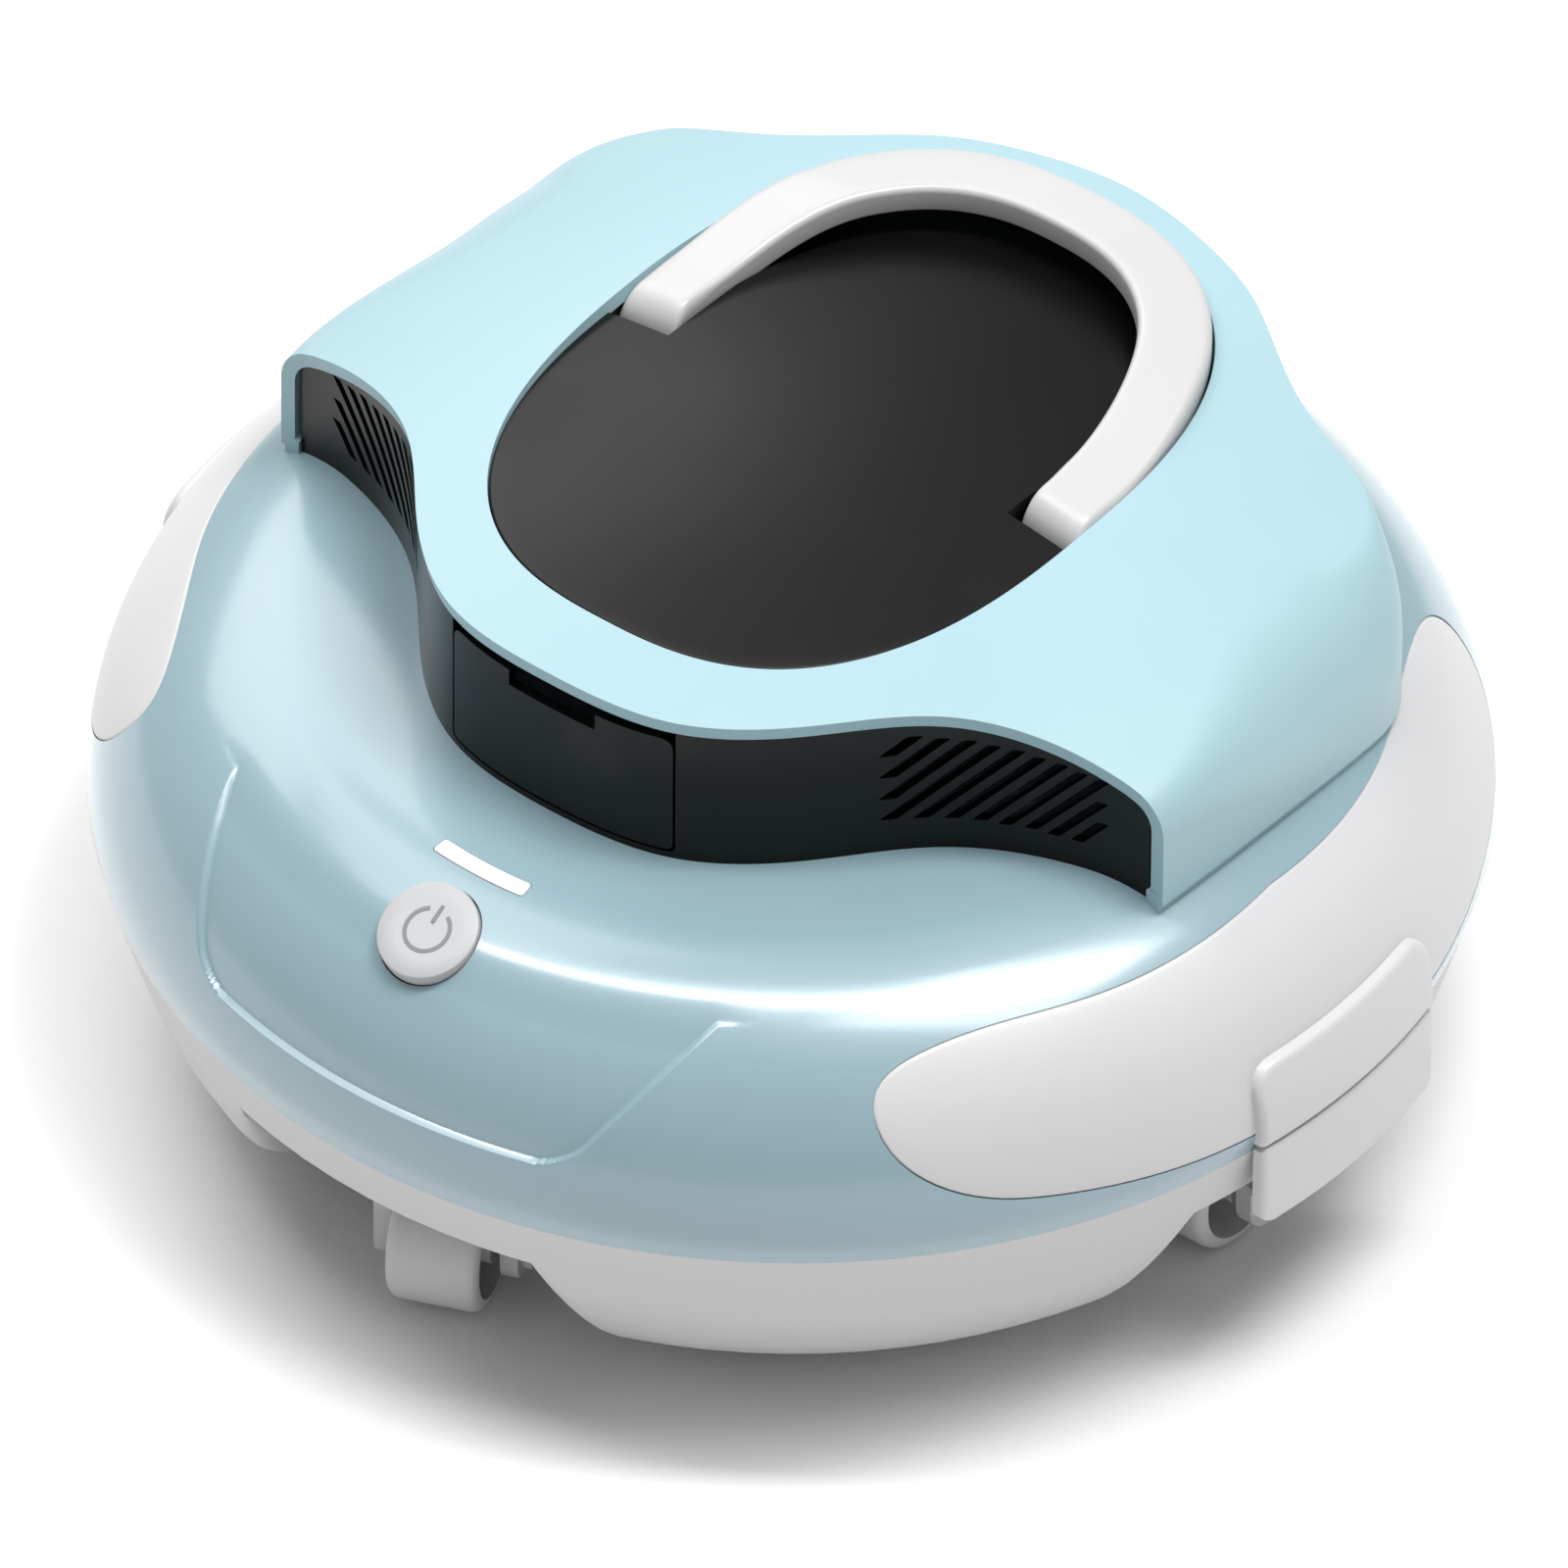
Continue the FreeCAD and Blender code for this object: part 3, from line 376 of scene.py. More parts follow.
def material(name, colour, rough, coat=0.0, coat_rough=0.08, metal=0.0, grain=0.0, speck=0.03,
             grain_size=900.0, level=0.5):
    """A plain finish with a fine grain, slow changes of tone and an uneven polish."""
    made = bpy.data.materials.new(name)
    made.use_nodes = True
    tree = made.node_tree
    shader = tree.nodes["Principled BSDF"]
    shader.inputs["Metallic"].default_value = metal
    shader.inputs["Coat Weight"].default_value = coat
    shader.inputs["Coat Roughness"].default_value = coat_rough
    shader.inputs["Specular IOR Level"].default_value = level
    place = tree.nodes.new("ShaderNodeTexCoord")
    wide = tree.nodes.new("ShaderNodeTexNoise")
    wide.inputs["Scale"].default_value = 14.0
    wide.inputs["Detail"].default_value = 4.0
    fine = tree.nodes.new("ShaderNodeTexNoise")
    fine.inputs["Scale"].default_value = grain_size
    fine.inputs["Detail"].default_value = 2.0
    for noise in (wide, fine):
        tree.links.new(place.outputs["Object"], noise.inputs["Vector"])
    tone = tree.nodes.new("ShaderNodeMix")
    tone.data_type = "RGBA"
    tone.inputs["A"].default_value = (*[c * (1 - speck) for c in colour], 1)
    tone.inputs["B"].default_value = (*[min(1, c * (1 + speck)) for c in colour], 1)
    tree.links.new(wide.outputs["Fac"], tone.inputs["Factor"])
    tree.links.new(tone.outputs["Result"], shader.inputs["Base Color"])
    polish = tree.nodes.new("ShaderNodeMapRange")
    polish.inputs["From Min"].default_value = 0.3
    polish.inputs["From Max"].default_value = 0.7
    polish.inputs["To Min"].default_value = max(0.02, rough - POLISH_SPREAD)
    polish.inputs["To Max"].default_value = rough + POLISH_SPREAD
    tree.links.new(wide.outputs["Fac"], polish.inputs["Value"])
    tree.links.new(polish.outputs["Result"], shader.inputs["Roughness"])
    if grain > 0:
        bump = tree.nodes.new("ShaderNodeBump")
        bump.inputs["Strength"].default_value = grain
        bump.inputs["Distance"].default_value = 0.0001
        tree.links.new(fine.outputs["Fac"], bump.inputs["Height"])
        tree.links.new(bump.outputs["Normal"], shader.inputs["Normal"])
    return made


def shade(red, green, blue):
    """A colour given as it shows on a screen, 0 to 255."""
    return [((c / 255 + 0.055) / 1.055) ** 2.4 if c > 10 else c / 3294 for c in (red, green, blue)]


finishes = {}
for name, colour, rough, extras in (
        ("dome_blue", (134, 160, 169), 0.32, {"coat": 1.0, "coat_rough": 0.16, "grain": 0.03}),
        ("hood_blue", (150, 180, 188), 0.4, {"grain": 0.12}),
        ("shell_white", (196, 196, 197), 0.38, {"grain": 0.12}),
        ("handle_white", (183, 183, 183), 0.34, {"grain": 0.1}),
        ("tray_white", (190, 190, 191), 0.45, {"grain": 0.2}),
        ("bracket_grey", (178, 178, 179), 0.45, {"grain": 0.2}),
        ("wheel_grey", (194, 194, 195), 0.55, {"grain": 0.3}),
        ("vent_black", (6, 7, 7), 0.3, {"grain": 0.1, "speck": 0.06, "level": 0.25}),
        ("window_black", (7, 7, 7), 0.36, {"coat": 0.15, "coat_rough": 0.3, "speck": 0.06, "level": 0.2}),
        ("button_grey", (172, 173, 175), 0.4, {"grain": 0.1}),
        ("mark_grey", (118, 120, 123), 0.5, {"grain": 0.1}),
        ("light_white", (228, 229, 230), 0.3, {"coat": 0.3}),
        ("dark_plastic", (44, 45, 47), 0.5, {"grain": 0.3, "speck": 0.06}),
        ("seal_rubber", (30, 30, 31), 0.7, {"grain": 0.4, "speck": 0.08}),
        ("steel", (176, 178, 180), 0.3, {"metal": 1.0, "grain": 0.15}),
        ("motor_metal", (140, 142, 146), 0.36, {"metal": 1.0, "grain": 0.25}),
        ("battery_wrap", (60, 96, 150), 0.35, {"coat": 0.4}),
        ("board_green", (38, 92, 62), 0.4, {"coat": 0.3, "grain": 0.3}),
        ("mesh_grey", (120, 122, 124), 0.6, {"grain": 0.6, "grain_size": 2500.0})):
    finishes[name] = material(name, shade(*colour), rough, **extras)


def finish(obj, finish_name, body, nodes=()):
    """Colour a piece, let it ride on a body and stand for CAD nodes."""
    obj.data.materials.clear()
    obj.data.materials.append(finishes[finish_name])
    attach(obj, body)
    if nodes:
        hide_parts(*nodes)
    return obj


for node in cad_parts.values():
    slot_name = node.material_slots[0].material.name.split(".")[0]
    node.material_slots[0].material = finishes[slot_name]

# ---------------------------------------------------------------- dome shell

# one half of a side panel, which the other half mirrors: Y and the height above the seam
panel_outline = [(0, 57), (65, 55.6), (107, 53.4), (124.5, 44), (126.5, 34), (119, 22.5), (94, 13.5),
                 (45, 7.4), (0, 6.5)]
panel_points = [(y, SEAM_Z + up) for y, up in panel_outline]
panel_points += [(-y, SEAM_Z + up) for y, up in panel_outline[-2:0:-1]]
panel_shape = resampled(spline(panel_points + panel_points[:1], 200)[:-1], 3.0)

# close rings and lines where the front panel is sunk, wide ones elsewhere
rise_steps = [np.arange(0, 12, 3), np.arange(12, 72, 0.6), np.arange(72, 90.1, 3)]
rise_angles = np.radians(np.concatenate(rise_steps))
dome_rows = [(SEAM_R, SEAM_Z), (SEAM_R + 0.35, SEAM_Z + 1.5), (SEAM_R + 0.8, SEAM_Z + 3.5)]
dome_rows += [(RING + CURVE * math.cos(a), RIM_Z + CURVE * math.sin(a)) for a in rise_angles]
dome_rows += [(r, DECK_Z) for r in np.linspace(RING, DECK_HOLE, 14)[1:]]
front = np.radians(-90)
sector = np.radians(31)
around = np.concatenate([np.linspace(-sector, sector, 440, endpoint=False),
                         np.linspace(sector, 2 * math.pi - sector, 150, endpoint=False)]) + front


RECESS_DEEP = 1.7
RECESS_EDGE = 1.3
RECESS_CORNER = 9.0
RECESS_FOOT = 97.5
RECESS_TOP = 137.0
RECESS_HALF = 62.0
RECESS_LEAN = 0.866


def ease(share):
    """A share from 0 to 1 with a soft start and end."""
    return share * share * (3 - 2 * share)


def recess_depth(x, y, z):
    """How far the front panel is sunk: crisp at its sides and foot, fading out at the ridge."""
    edge_x = RECESS_HALF + (z - RECESS_FOOT) * 21 / 36.5
    side = (np.abs(x) - edge_x) * RECESS_LEAN + RECESS_CORNER
    foot = RECESS_FOOT - z + RECESS_CORNER
    inner = np.maximum(side, 0) ** 2 + np.maximum(foot, 0) ** 2
    distance = np.sqrt(inner) - RECESS_CORNER + np.minimum(np.maximum(side, foot), 0)
    edge = np.clip(-distance / RECESS_EDGE, 0, 1)
    fade = np.clip((RECESS_TOP - z) / 9, 0, 1)
    return RECESS_DEEP * ease(edge) * ease(fade) * (y < 0)


rings = []
for radius, height in dome_rows:
    x = radius * np.cos(around)
    y = radius * np.sin(around)
    z = np.full(len(around), float(height))
    sunk = recess_depth(x, y, z)
    tilt = min(1.0, max(0.0, (height - RIM_Z) / CURVE))
    level = math.sqrt(1 - tilt * tilt)
    sunk_x = x - sunk * level * np.cos(around)
    sunk_y = y - sunk * level * np.sin(around)
    rings.append(np.stack([sunk_x, sunk_y, z - sunk * tilt], -1))
dome = thicken(sheet("dome", rings, wrap=True), DOME_WALL)

# the button's seat on the front of the ridge, square to the dome
lean = math.radians(27)
button_out = Vector((0, -math.sin(lean), math.cos(lean)))
button_seat = Vector((0, -RING, RIM_Z)) + button_out * CURVE
button_tool = lathe("button_tool", [(0, -9), (14.75, -9), (14.75, 0.2), (15.6, 0.75), (15.6, 6), (0, 6)],
                    button_seat, button_out)


LIGHT_RADIUS = 134.6


def on_ridge(u, v, h):
    """Lays a strip along the ridge at the front: u runs sideways, v outward."""
    angle = u / LIGHT_RADIUS
    radius = LIGHT_RADIUS + v
    return np.stack([radius * np.sin(angle), -radius * np.cos(angle), dome_height(radius) + h], -1)


light_shape = resampled(rounded([(-15, -2.6), (15, -2.6), (15, 2.6), (-15, 2.6)], 1.2), 0.6)
light_tool = pillow("light_tool", light_shape, on_ridge, -4.5, 2.0, grow=0.25)
cap_tool = lathe("cap_tool", [(0, -20), (8.3, -20), (8.3, 9), (0, 9)], (0, 187, 98), (0, 1, 0))
tools = [button_tool, light_tool, cap_tool]
for sign in (1, -1):
    tools.append(pillow("panel_tool", panel_shape, on_side(sign), -1.6, 3.0, grow=0.35, rings=24))
carve(dome, *tools)
finish(dome, "dome_blue", "chassis", ["upper_shell"])

for side, sign in (("right", 1), ("left", -1)):
    panel_name = "side_panel_" + side
    panel = pillow(panel_name + "_skin", panel_shape, on_side(sign), -1.5, 0.05, edge=0.5, rings=24)
    finish(panel, "shell_white", "chassis", [panel_name])

button_profile = [(0, -4), (14.3, -4), (14.3, 0.2), (14.1, 0.7), (13.6, 0.95), (9, 1.0), (0, 0.8)]
button = lathe("power_button_skin", button_profile, button_seat, button_out)
finish(button, "button_grey", "power_button", ["power_button"])

side_axis = Vector((1, 0, 0))
up_axis = button_out.cross(side_axis)
up_axis = -up_axis if up_axis.z < 0 else up_axis


def on_button(u, v, h):
    """Lays a mark on the button's face."""
    seat = np.array(button_seat)[None, :]
    return seat + np.outer(u, side_axis) + np.outer(v, up_axis) + np.outer(h, button_out)


ring_points = []
for radius, way in ((6.9, 1), (5.8, -1)):
    for step in range(40)[::way]:
        angle = math.radians(90 + 28 + (360 - 56) * step / 39)
        ring_points.append((radius * math.cos(angle), radius * math.sin(angle)))
half_ring = np.array(ring_points)
low_ring = on_button(half_ring[:, 0], half_ring[:, 1], np.full(80, 0.5))
high_ring = on_button(half_ring[:, 0], half_ring[:, 1], np.full(80, 1.12))
mark = sheet("mark", [low_ring, high_ring], wrap=True)
top_faces = [(80 + i, 80 + i + 1, 159 - i - 1, 159 - i) for i in range(39)]
cap_mesh = new_object("mark_top", np.vstack([low_ring, high_ring]), top_faces)
bar_shape = rounded([(-0.55, 2.2), (0.55, 2.2), (0.55, 7.9), (-0.55, 7.9)], 0.5)
bar = pillow("mark_bar", bar_shape, on_button, 0.5, 1.12)
power_mark = merge(mark, cap_mesh, bar)
power_mark.name = "power_mark"
finish(power_mark, "mark_grey", "power_button")

light = pillow("light_bar_skin", light_shape, on_ridge, -3.0, 0.35, edge=0.4)
finish(light, "light_white", "chassis", ["light_bar"])

# ---------------------------------------------------------------- hood

# the hood's right wall runs from the front corner back, and round the rear corner to WALL_END in X;
# its shoulder's rounding grows by REAR_SHOULDER toward the rear and ends at SHARP_SHOULDER
WALL_END = 118.0
REAR_SHOULDER = 29.0
SHARP_SHOULDER = 1.2
FADE_LENGTH = 52.0
PLINTH_INSET = 1.3
PLINTH_TOP = 3.6
WALL_DIP = 1.2

front_right = front_edge[(front_edge[:, 0] >= 0) & (front_edge[:, 0] < 140.5)]
rear_right = rear_edge[(rear_edge[:, 0] >= 0) & (rear_edge[:, 0] < WALL_END - 1)]
wall_line = [(flank_x(y), y) for y in (-32.3, -20, 0, 20, 40)]
corner_order = np.argsort(rear_edge[:, 0])
corner_y = float(np.interp(WALL_END, rear_edge[corner_order, 0], rear_edge[corner_order, 1]))
wall_line += [(151.2, 58), (148.4, 72), (142.6, 82), (134.6, 88.6), (126.4, 92.8)]
wall_line.append((WALL_END, corner_y + 0.4))
wall_line = spline([(float(x), y) for x, y in wall_line], 90)
along = np.gradient(wall_line, axis=0)
along /= np.linalg.norm(along, axis=1)[:, None]
wall_normal = np.stack([along[:, 1], -along[:, 0]], 1)
wall_normal[0] = (1, 0)
walls = []
starts = []
paces = np.linalg.norm(np.diff(wall_line, axis=0), axis=1)
left_to_go = np.concatenate([np.cumsum(paces[::-1])[::-1], [0]])
for spot, out, to_go in zip(wall_line, wall_normal, left_to_go):
    fade = min(1.0, to_go / FADE_LENGTH)
    widen = min(1.0, max(0.0, (spot[1] + 30) / 70))
    full = SHOULDER + REAR_SHOULDER * ease(widen)
    bend = SHARP_SHOULDER + (full - SHARP_SHOULDER) * ease(fade)
    slope = crown_slope(spot - out * 5, out)
    start = spot - out * bend * (1 - math.sin(slope))
    top_z = float(crown(*start))
    column = []
    for step in range(1, 11):
        turned = slope + (math.pi / 2 - slope) * step / 10
        where = start + out * bend * (math.sin(turned) - math.sin(slope))
        column.append((where[0], where[1], top_z - bend * (math.cos(slope) - math.cos(turned))))
    foot_z = float(dome_height(math.hypot(*spot)))
    brow_z = column[9][2]
    for step in range(1, 9):
        column.append((spot[0], spot[1], brow_z + (foot_z + PLINTH_TOP - brow_z) * step / 8))
    inset = spot - out * PLINTH_INSET
    column.append((inset[0], inset[1], foot_z + PLINTH_TOP - 0.4))
    column.append((inset[0], inset[1], foot_z - WALL_DIP))
    starts.append(start)
    walls.append([(start[0], start[1], top_z)] + column)
right_rim = np.vstack([front_right, np.array(starts), rear_right[::-1]])
left_rim = right_rim[::-1] * np.array([-1, 1])
outer_rim = np.vstack([right_rim, left_rim])
way = np.arctan2((outer_rim[:, 1] - OPEN_MIDDLE), outer_rim[:, 0])
reach = (np.abs(np.cos(way)) / OPEN_X) ** POWER + (np.abs(np.sin(way)) / OPEN_Y) ** POWER
reach = reach ** (-1 / POWER)
inner_rim = np.stack([reach * np.cos(way), OPEN_MIDDLE + reach * np.sin(way)], 1)
hood_points = []
for share in np.linspace(0, 1, 41):
    flat = inner_rim + (outer_rim - inner_rim) * share
    hood_points.append(np.stack([flat[:, 0], flat[:, 1], crown(flat[:, 0], flat[:, 1])], -1))
hood_faces = grid_faces(41, len(outer_rim), True)
all_points = [np.array(hood_points).reshape(-1, 3)]
count = len(all_points[0])
for sign in (1, -1):
    wall = np.array(walls) * np.array([sign, 1, 1])
    for face in grid_faces(wall.shape[0], wall.shape[1], False):
        hood_faces.append(tuple(count + corner for corner in face))
    all_points.append(wall.reshape(-1, 3))
    count += wall.shape[0] * wall.shape[1]
hood = thicken(new_object("hood_skin", np.vstack(all_points), hood_faces), HOOD_WALL)
hood = soften(hood, 1.3, 3, 50)
finish(hood, "hood_blue", "chassis", ["hood"])

# ---------------------------------------------------------------- vent bands and outlet flaps


def ceiling(x, y):
    """The height under the hood."""
    x = np.abs(x)
    middle = flank_x(y) - SHOULDER
    slope = math.radians(20.5)
    start = middle + SHOULDER * math.sin(slope)
    turn = np.sqrt(np.maximum((SHOULDER - HOOD_WALL) ** 2 - np.maximum(x - middle, 0) ** 2, 0))
    base = crown(start, y) - SHOULDER * math.cos(slope)
    return np.where(x < start - 1.5, crown(x, y, HOOD_WALL), base + turn) - 0.3


BAND_INSET = 1.0
BAND_WALL = 3.0
FLAP_HALF = 37.2
FLAP_LOW = 144.2
FLAP_TOP = 183.3
FLAP_GAP = 0.7
NOTCH_HALF = 14.6
NOTCH_Z = 178.1
SLOT_COUNT = 13
SLOT_FIRST = 66.0
SLOT_PITCH = 6.4
SLOT_LEAN = math.radians(40)
SLOT_HALF = 1.3
SLOT_MIDDLE = 166.0
# the slots' field: its ends in X, and its floor and roof, which sink toward the corner
FIELD_NEAR = 80.0
FIELD_FAR = 131.0
FIELD_FLOOR = 152.0
FIELD_ROOF = 182.5


def band_track(edge, way, inset):
    """A band's line in plan, set in from the hood's edge, with its outward normals."""
    along = np.gradient(edge, axis=0)
    along /= np.linalg.norm(along, axis=1)[:, None]
    normal = np.stack([along[:, 1], -along[:, 0]], 1)
    if normal[len(edge) // 2][1] * way > 0:
        normal = -normal
    return edge - normal * inset, normal


def on_band(edge, way):
    """Lays a patch on a band: u is X, v is the height, h stands out of it."""
    track, normal = band_track(edge, way, BAND_INSET)
    order = np.argsort(track[:, 0])

    def place(u, v, h):
        y = np.interp(u, track[order, 0], track[order, 1])
        nx = np.interp(u, track[order, 0], normal[order, 0])
        ny = np.interp(u, track[order, 0], normal[order, 1])
        return np.stack([u + nx * h, y + ny * h, v], -1)
    return place


def slot_shape(slot_x, sign):
    """A leaning slot's outline, cut to the field; None where the field leaves too little of it."""
    inside = []
    low_z = max(150.4, FIELD_FLOOR - (abs(slot_x) - FIELD_NEAR) * 0.05)
    for z in np.linspace(low_z, 183.5, 60):
        x = slot_x + sign * math.tan(SLOT_LEAN) * (z - SLOT_MIDDLE)
        past = abs(x) - FIELD_NEAR
        roof = FIELD_ROOF - past * 8.0 / 51
        floor = FIELD_FLOOR - past * 2.5 / 51
        if FIELD_NEAR <= abs(x) <= FIELD_FAR and floor <= z <= roof:
            inside.append((x, z))
    if len(inside) < 4:
        return None
    (x0, z0), (x1, z1) = inside[0], inside[-1]
    across = SLOT_HALF / math.cos(SLOT_LEAN)
    corners = [(x0 - across, z0), (x0 + across, z0), (x1 + across, z1), (x1 - across, z1)]
    return resampled(rounded(corners, 0.4), 0.7)


for side, edge, way in (("front", front_edge, 1), ("rear", rear_edge, -1)):
    place = on_band(edge, way)
    track, normal = band_track(edge, way, BAND_INSET)
    keep = np.abs(track[:, 0]) < (145.6 if way > 0 else WALL_END + 3)
    track = track[keep]
    foot = dome_height(np.hypot(track[:, 0], track[:, 1])) - WALL_DIP
    head = ceiling(track[:, 0], track[:, 1])
    rows = []
    for share in np.linspace(0, 1, 9):
        rows.append(np.stack([track[:, 0], track[:, 1], foot + (head - foot) * share], -1))
    band = thicken(sheet("vent_band_" + side + "_skin", rows), BAND_WALL)
    door_half = FLAP_HALF + FLAP_GAP
    door_low = FLAP_LOW - FLAP_GAP
    door = rounded([(-door_half, door_low), (door_half, door_low), (door_half, 205), (-door_half, 205)], 2.0)
    cutters = [pillow("door_tool", resampled(door, 1.0), place, -8.0, 8.0)]
    for sign in (1, -1):
        for index in range(SLOT_COUNT):
            shape = slot_shape(sign * (SLOT_FIRST + SLOT_PITCH * index), sign)
            if shape is not None:
                cutters.append(pillow("slot_tool", shape, place, -8.0, 8.0, rings=3))
    carve(band, *cutters)
    band = soften(band, 0.3, 2, 50)
    finish(band, "vent_black", "chassis", ["vent_band_" + side])
    leaf_shape = rounded([(-FLAP_HALF, FLAP_LOW), (FLAP_HALF, FLAP_LOW),
                          (FLAP_HALF, FLAP_TOP, 4), (-FLAP_HALF, FLAP_TOP, 4)], 2.0)
    leaf_name = "outlet_flap_" + side
    leaf = pillow(leaf_name + "_skin", resampled(leaf_shape, 1.0), place, -BAND_WALL, 0.0)
    near_y = -140 if way > 0 else 80
    notch_tool = block("notch_tool", (-NOTCH_HALF, near_y, NOTCH_Z), (NOTCH_HALF, near_y + 120, 200))
    carve(leaf, notch_tool)
    leaf = soften(leaf, 0.5, 2, 50)
    finish(leaf, "vent_black", leaf_name, [leaf_name])

# ---------------------------------------------------------------- window and handle

PIVOT_Y = OPEN_MIDDLE - OPEN_Y
HANDLE_WIDE = 19.0
HANDLE_DEEP = 8.5
HANDLE_GAP = 0.8
END_REACH = 9.0
TURN_ROOM = 12.8


def sink(y):
    """How far the window lies under the crown: little at the front, deep enough for fingers at the back."""
    share = np.clip((np.asarray(y) - PIVOT_Y) / 215, 0, 1)
    return 0.4 + 11.5 * share ** 1.8


def on_window(u, v, h):
    """Lays the window in its opening."""
    return np.stack([u, v, crown(u, v) - sink(v) + h], -1)


whole_turn = np.linspace(0, 2 * math.pi, 360, endpoint=False)
window_shape = resampled(opening(whole_turn, 0.5), 2.0)
window = pillow("window_skin", window_shape, on_window, -6.0, 0.0, edge=0.6, rings=24)
hinge_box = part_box("handle_pins")
hinge_y = 0.5 * (hinge_box[0].y + hinge_box[1].y) / MM
hinge_z = 0.5 * (hinge_box[0].z + hinge_box[1].z) / MM
well_front = hinge_y - TURN_ROOM
for sign in (1, -1):
    low_x, high_x = sorted((sign * 57.7, sign * 80.4))
    carve(window, block("well_tool", (low_x, well_front, 150), (high_x, hinge_y + 16, 230)))
channel_rows = []
for turn in np.linspace(0, math.pi, 91):
    corners = []
    for inset, level in ((-1.0, 5.0), (20.4, 5.0), (20.4, -9.6), (-1.0, -9.6)):
        x, y = opening(turn, inset)
        corners.append((x, y if 0 < turn < math.pi else well_front, crown(x, y) + level))
    channel_rows.append(corners)
carve(window, sheet("channel_tool", channel_rows, wrap=True, caps=True))
finish(window, "window_black", "chassis", ["window_panel"])

# turning angles along the handle, close together at its rounded ends
past_end = np.array([0.05, 0.2, 0.5, 1, 1.6, 2.4, 3.4, 4.6, 6, 7.5, 9, 11, 13, 16])
near_end = hinge_y - END_REACH + past_end
share = np.clip(np.abs(near_end - OPEN_MIDDLE) / (OPEN_Y - HANDLE_GAP), 0, 1) ** (POWER / 2)
end_turns = np.sign(near_end - OPEN_MIDDLE) * np.arcsin(share)
middle_turns = np.linspace(end_turns[-1], math.pi - end_turns[-1], 161)[1:-1]
handle_turns = np.concatenate([end_turns, middle_turns, math.pi - end_turns[::-1]])
# the handle's section: how far in from its outer edge, and how deep, with rounded corners
section = []
for corner_a, corner_d, radius, begin in ((0, 0, 2.2, 180), (HANDLE_WIDE, 0, 2.2, 90),
                                          (HANDLE_WIDE, HANDLE_DEEP, 1.0, 0), (0, HANDLE_DEEP, 1.0, -90)):
    sign_a = 1 if corner_a == 0 else -1
    sign_d = 1 if corner_d == 0 else -1
    for step in range(6):
        angle = math.radians(begin - 90 * step / 5)
        section.append((corner_a + sign_a * radius + radius * math.cos(angle),
                        corner_d + sign_d * radius - radius * math.sin(angle)))
    if corner_d == 0 and corner_a == 0:
        section += [(a, 0) for a in np.linspace(4, 15, 6)]
    if corner_d > 0 and corner_a > 0:
        section += [(a, HANDLE_DEEP) for a in np.linspace(16, 3, 5)]


def rise(y):
    """How far the handle stands above the crown: flush at its ends, arched at the back."""
    return 6.2 * ease(np.clip((np.asarray(y) - 42) / 48, 0, 1))


handle_rows = []
for turn in handle_turns:
    row = []
    for inset, depth in section:
        x, y = opening(np.array(turn), HANDLE_GAP + inset)
        roll = max(0.0, hinge_y - y)
        surface = crown(x, y) + rise(y)
        top = hinge_z + (surface - hinge_z) * math.sqrt(max(0.0, 1 - (roll / END_REACH) ** 2))
        deep = 1 - min(1.0, max(0.0, (y - hinge_y - 2) / 9))
        foot = surface - HANDLE_DEEP - 6.5 * ease(deep)
        foot = max(foot, hinge_z - math.sqrt(12.2 ** 2 - roll ** 2)) if roll > 0 else foot
        foot = min(foot, top - 0.2)
        row.append((x, y, top - depth * (top - foot) / HANDLE_DEEP))
    handle_rows.append(row)
handle = sheet("carry_handle_skin", handle_rows, wrap=True, caps=True)
handle.data.set_sharp_from_angle(angle=math.radians(45))
knuckle_profile = [(2.6, 0), (5, 0), (5.5, 0.5), (5.5, 11.5), (5, 12), (2.6, 12)]
for knuckle_x in (65.5, -77.5):
    merge(handle, lathe("knuckle", knuckle_profile, (knuckle_x, hinge_y, hinge_z), (1, 0, 0), 48))
finish(handle, "handle_white", "carry_handle", ["carry_handle"])

# ---------------------------------------------------------------- latches

LATCH_HALF = 37.0
LATCH_PIN_X = 179.0
LATCH_PIN_Z = 52.5
catch_corners = [(-LATCH_HALF, 77.4, 1.5), (LATCH_HALF, 77.4, 1.5),
                 (LATCH_HALF, 103, 9), (-LATCH_HALF, 103, 9)]
catch_shape = resampled(rounded(catch_corners, 3), 1.5)
lever_corners = [(-LATCH_HALF, 50.2, 5), (LATCH_HALF, 50.2, 5),
                 (LATCH_HALF, 76.9, 1.2), (-LATCH_HALF, 76.9, 1.2)]
lever_shape = resampled(rounded(lever_corners, 3), 1.5)


def on_skirt(sign):
    """Lays the lever, drawn from the side, on an upright round wall."""
    def place(u, v, h):
        radius = RIM_R + h
        return np.stack([sign * np.sqrt(radius ** 2 - u ** 2), u, v], -1)
    return place


for side, sign in (("right", 1), ("left", -1)):
    catch = pillow("latch_catch_" + side + "_skin", catch_shape, on_side(sign), 0.0, 3.3, edge=1.6)
    finish(catch, "shell_white", "chassis", ["latch_catch_" + side])
    lever = pillow("latch_lever_" + side + "_skin", lever_shape, on_skirt(sign), -0.7, 3.1, edge=1.4)
    low, high = sorted((sign * LATCH_PIN_X, sign * 190.5))
    web = block("lever_web", (low, -22, 50.5), (high, 22, 54.5))
    pin_seat = (sign * LATCH_PIN_X, -22, LATCH_PIN_Z)
    barrel = lathe("lever_barrel", [(1.7, 0), (2.6, 0), (2.6, 44), (1.7, 44)], pin_seat, (0, 1, 0), 32)
    merge(lever, soften(web, 0.5), barrel)
    finish(lever, "shell_white", "latch_" + side, ["latch_lever_" + side])

# ---------------------------------------------------------------- base tray

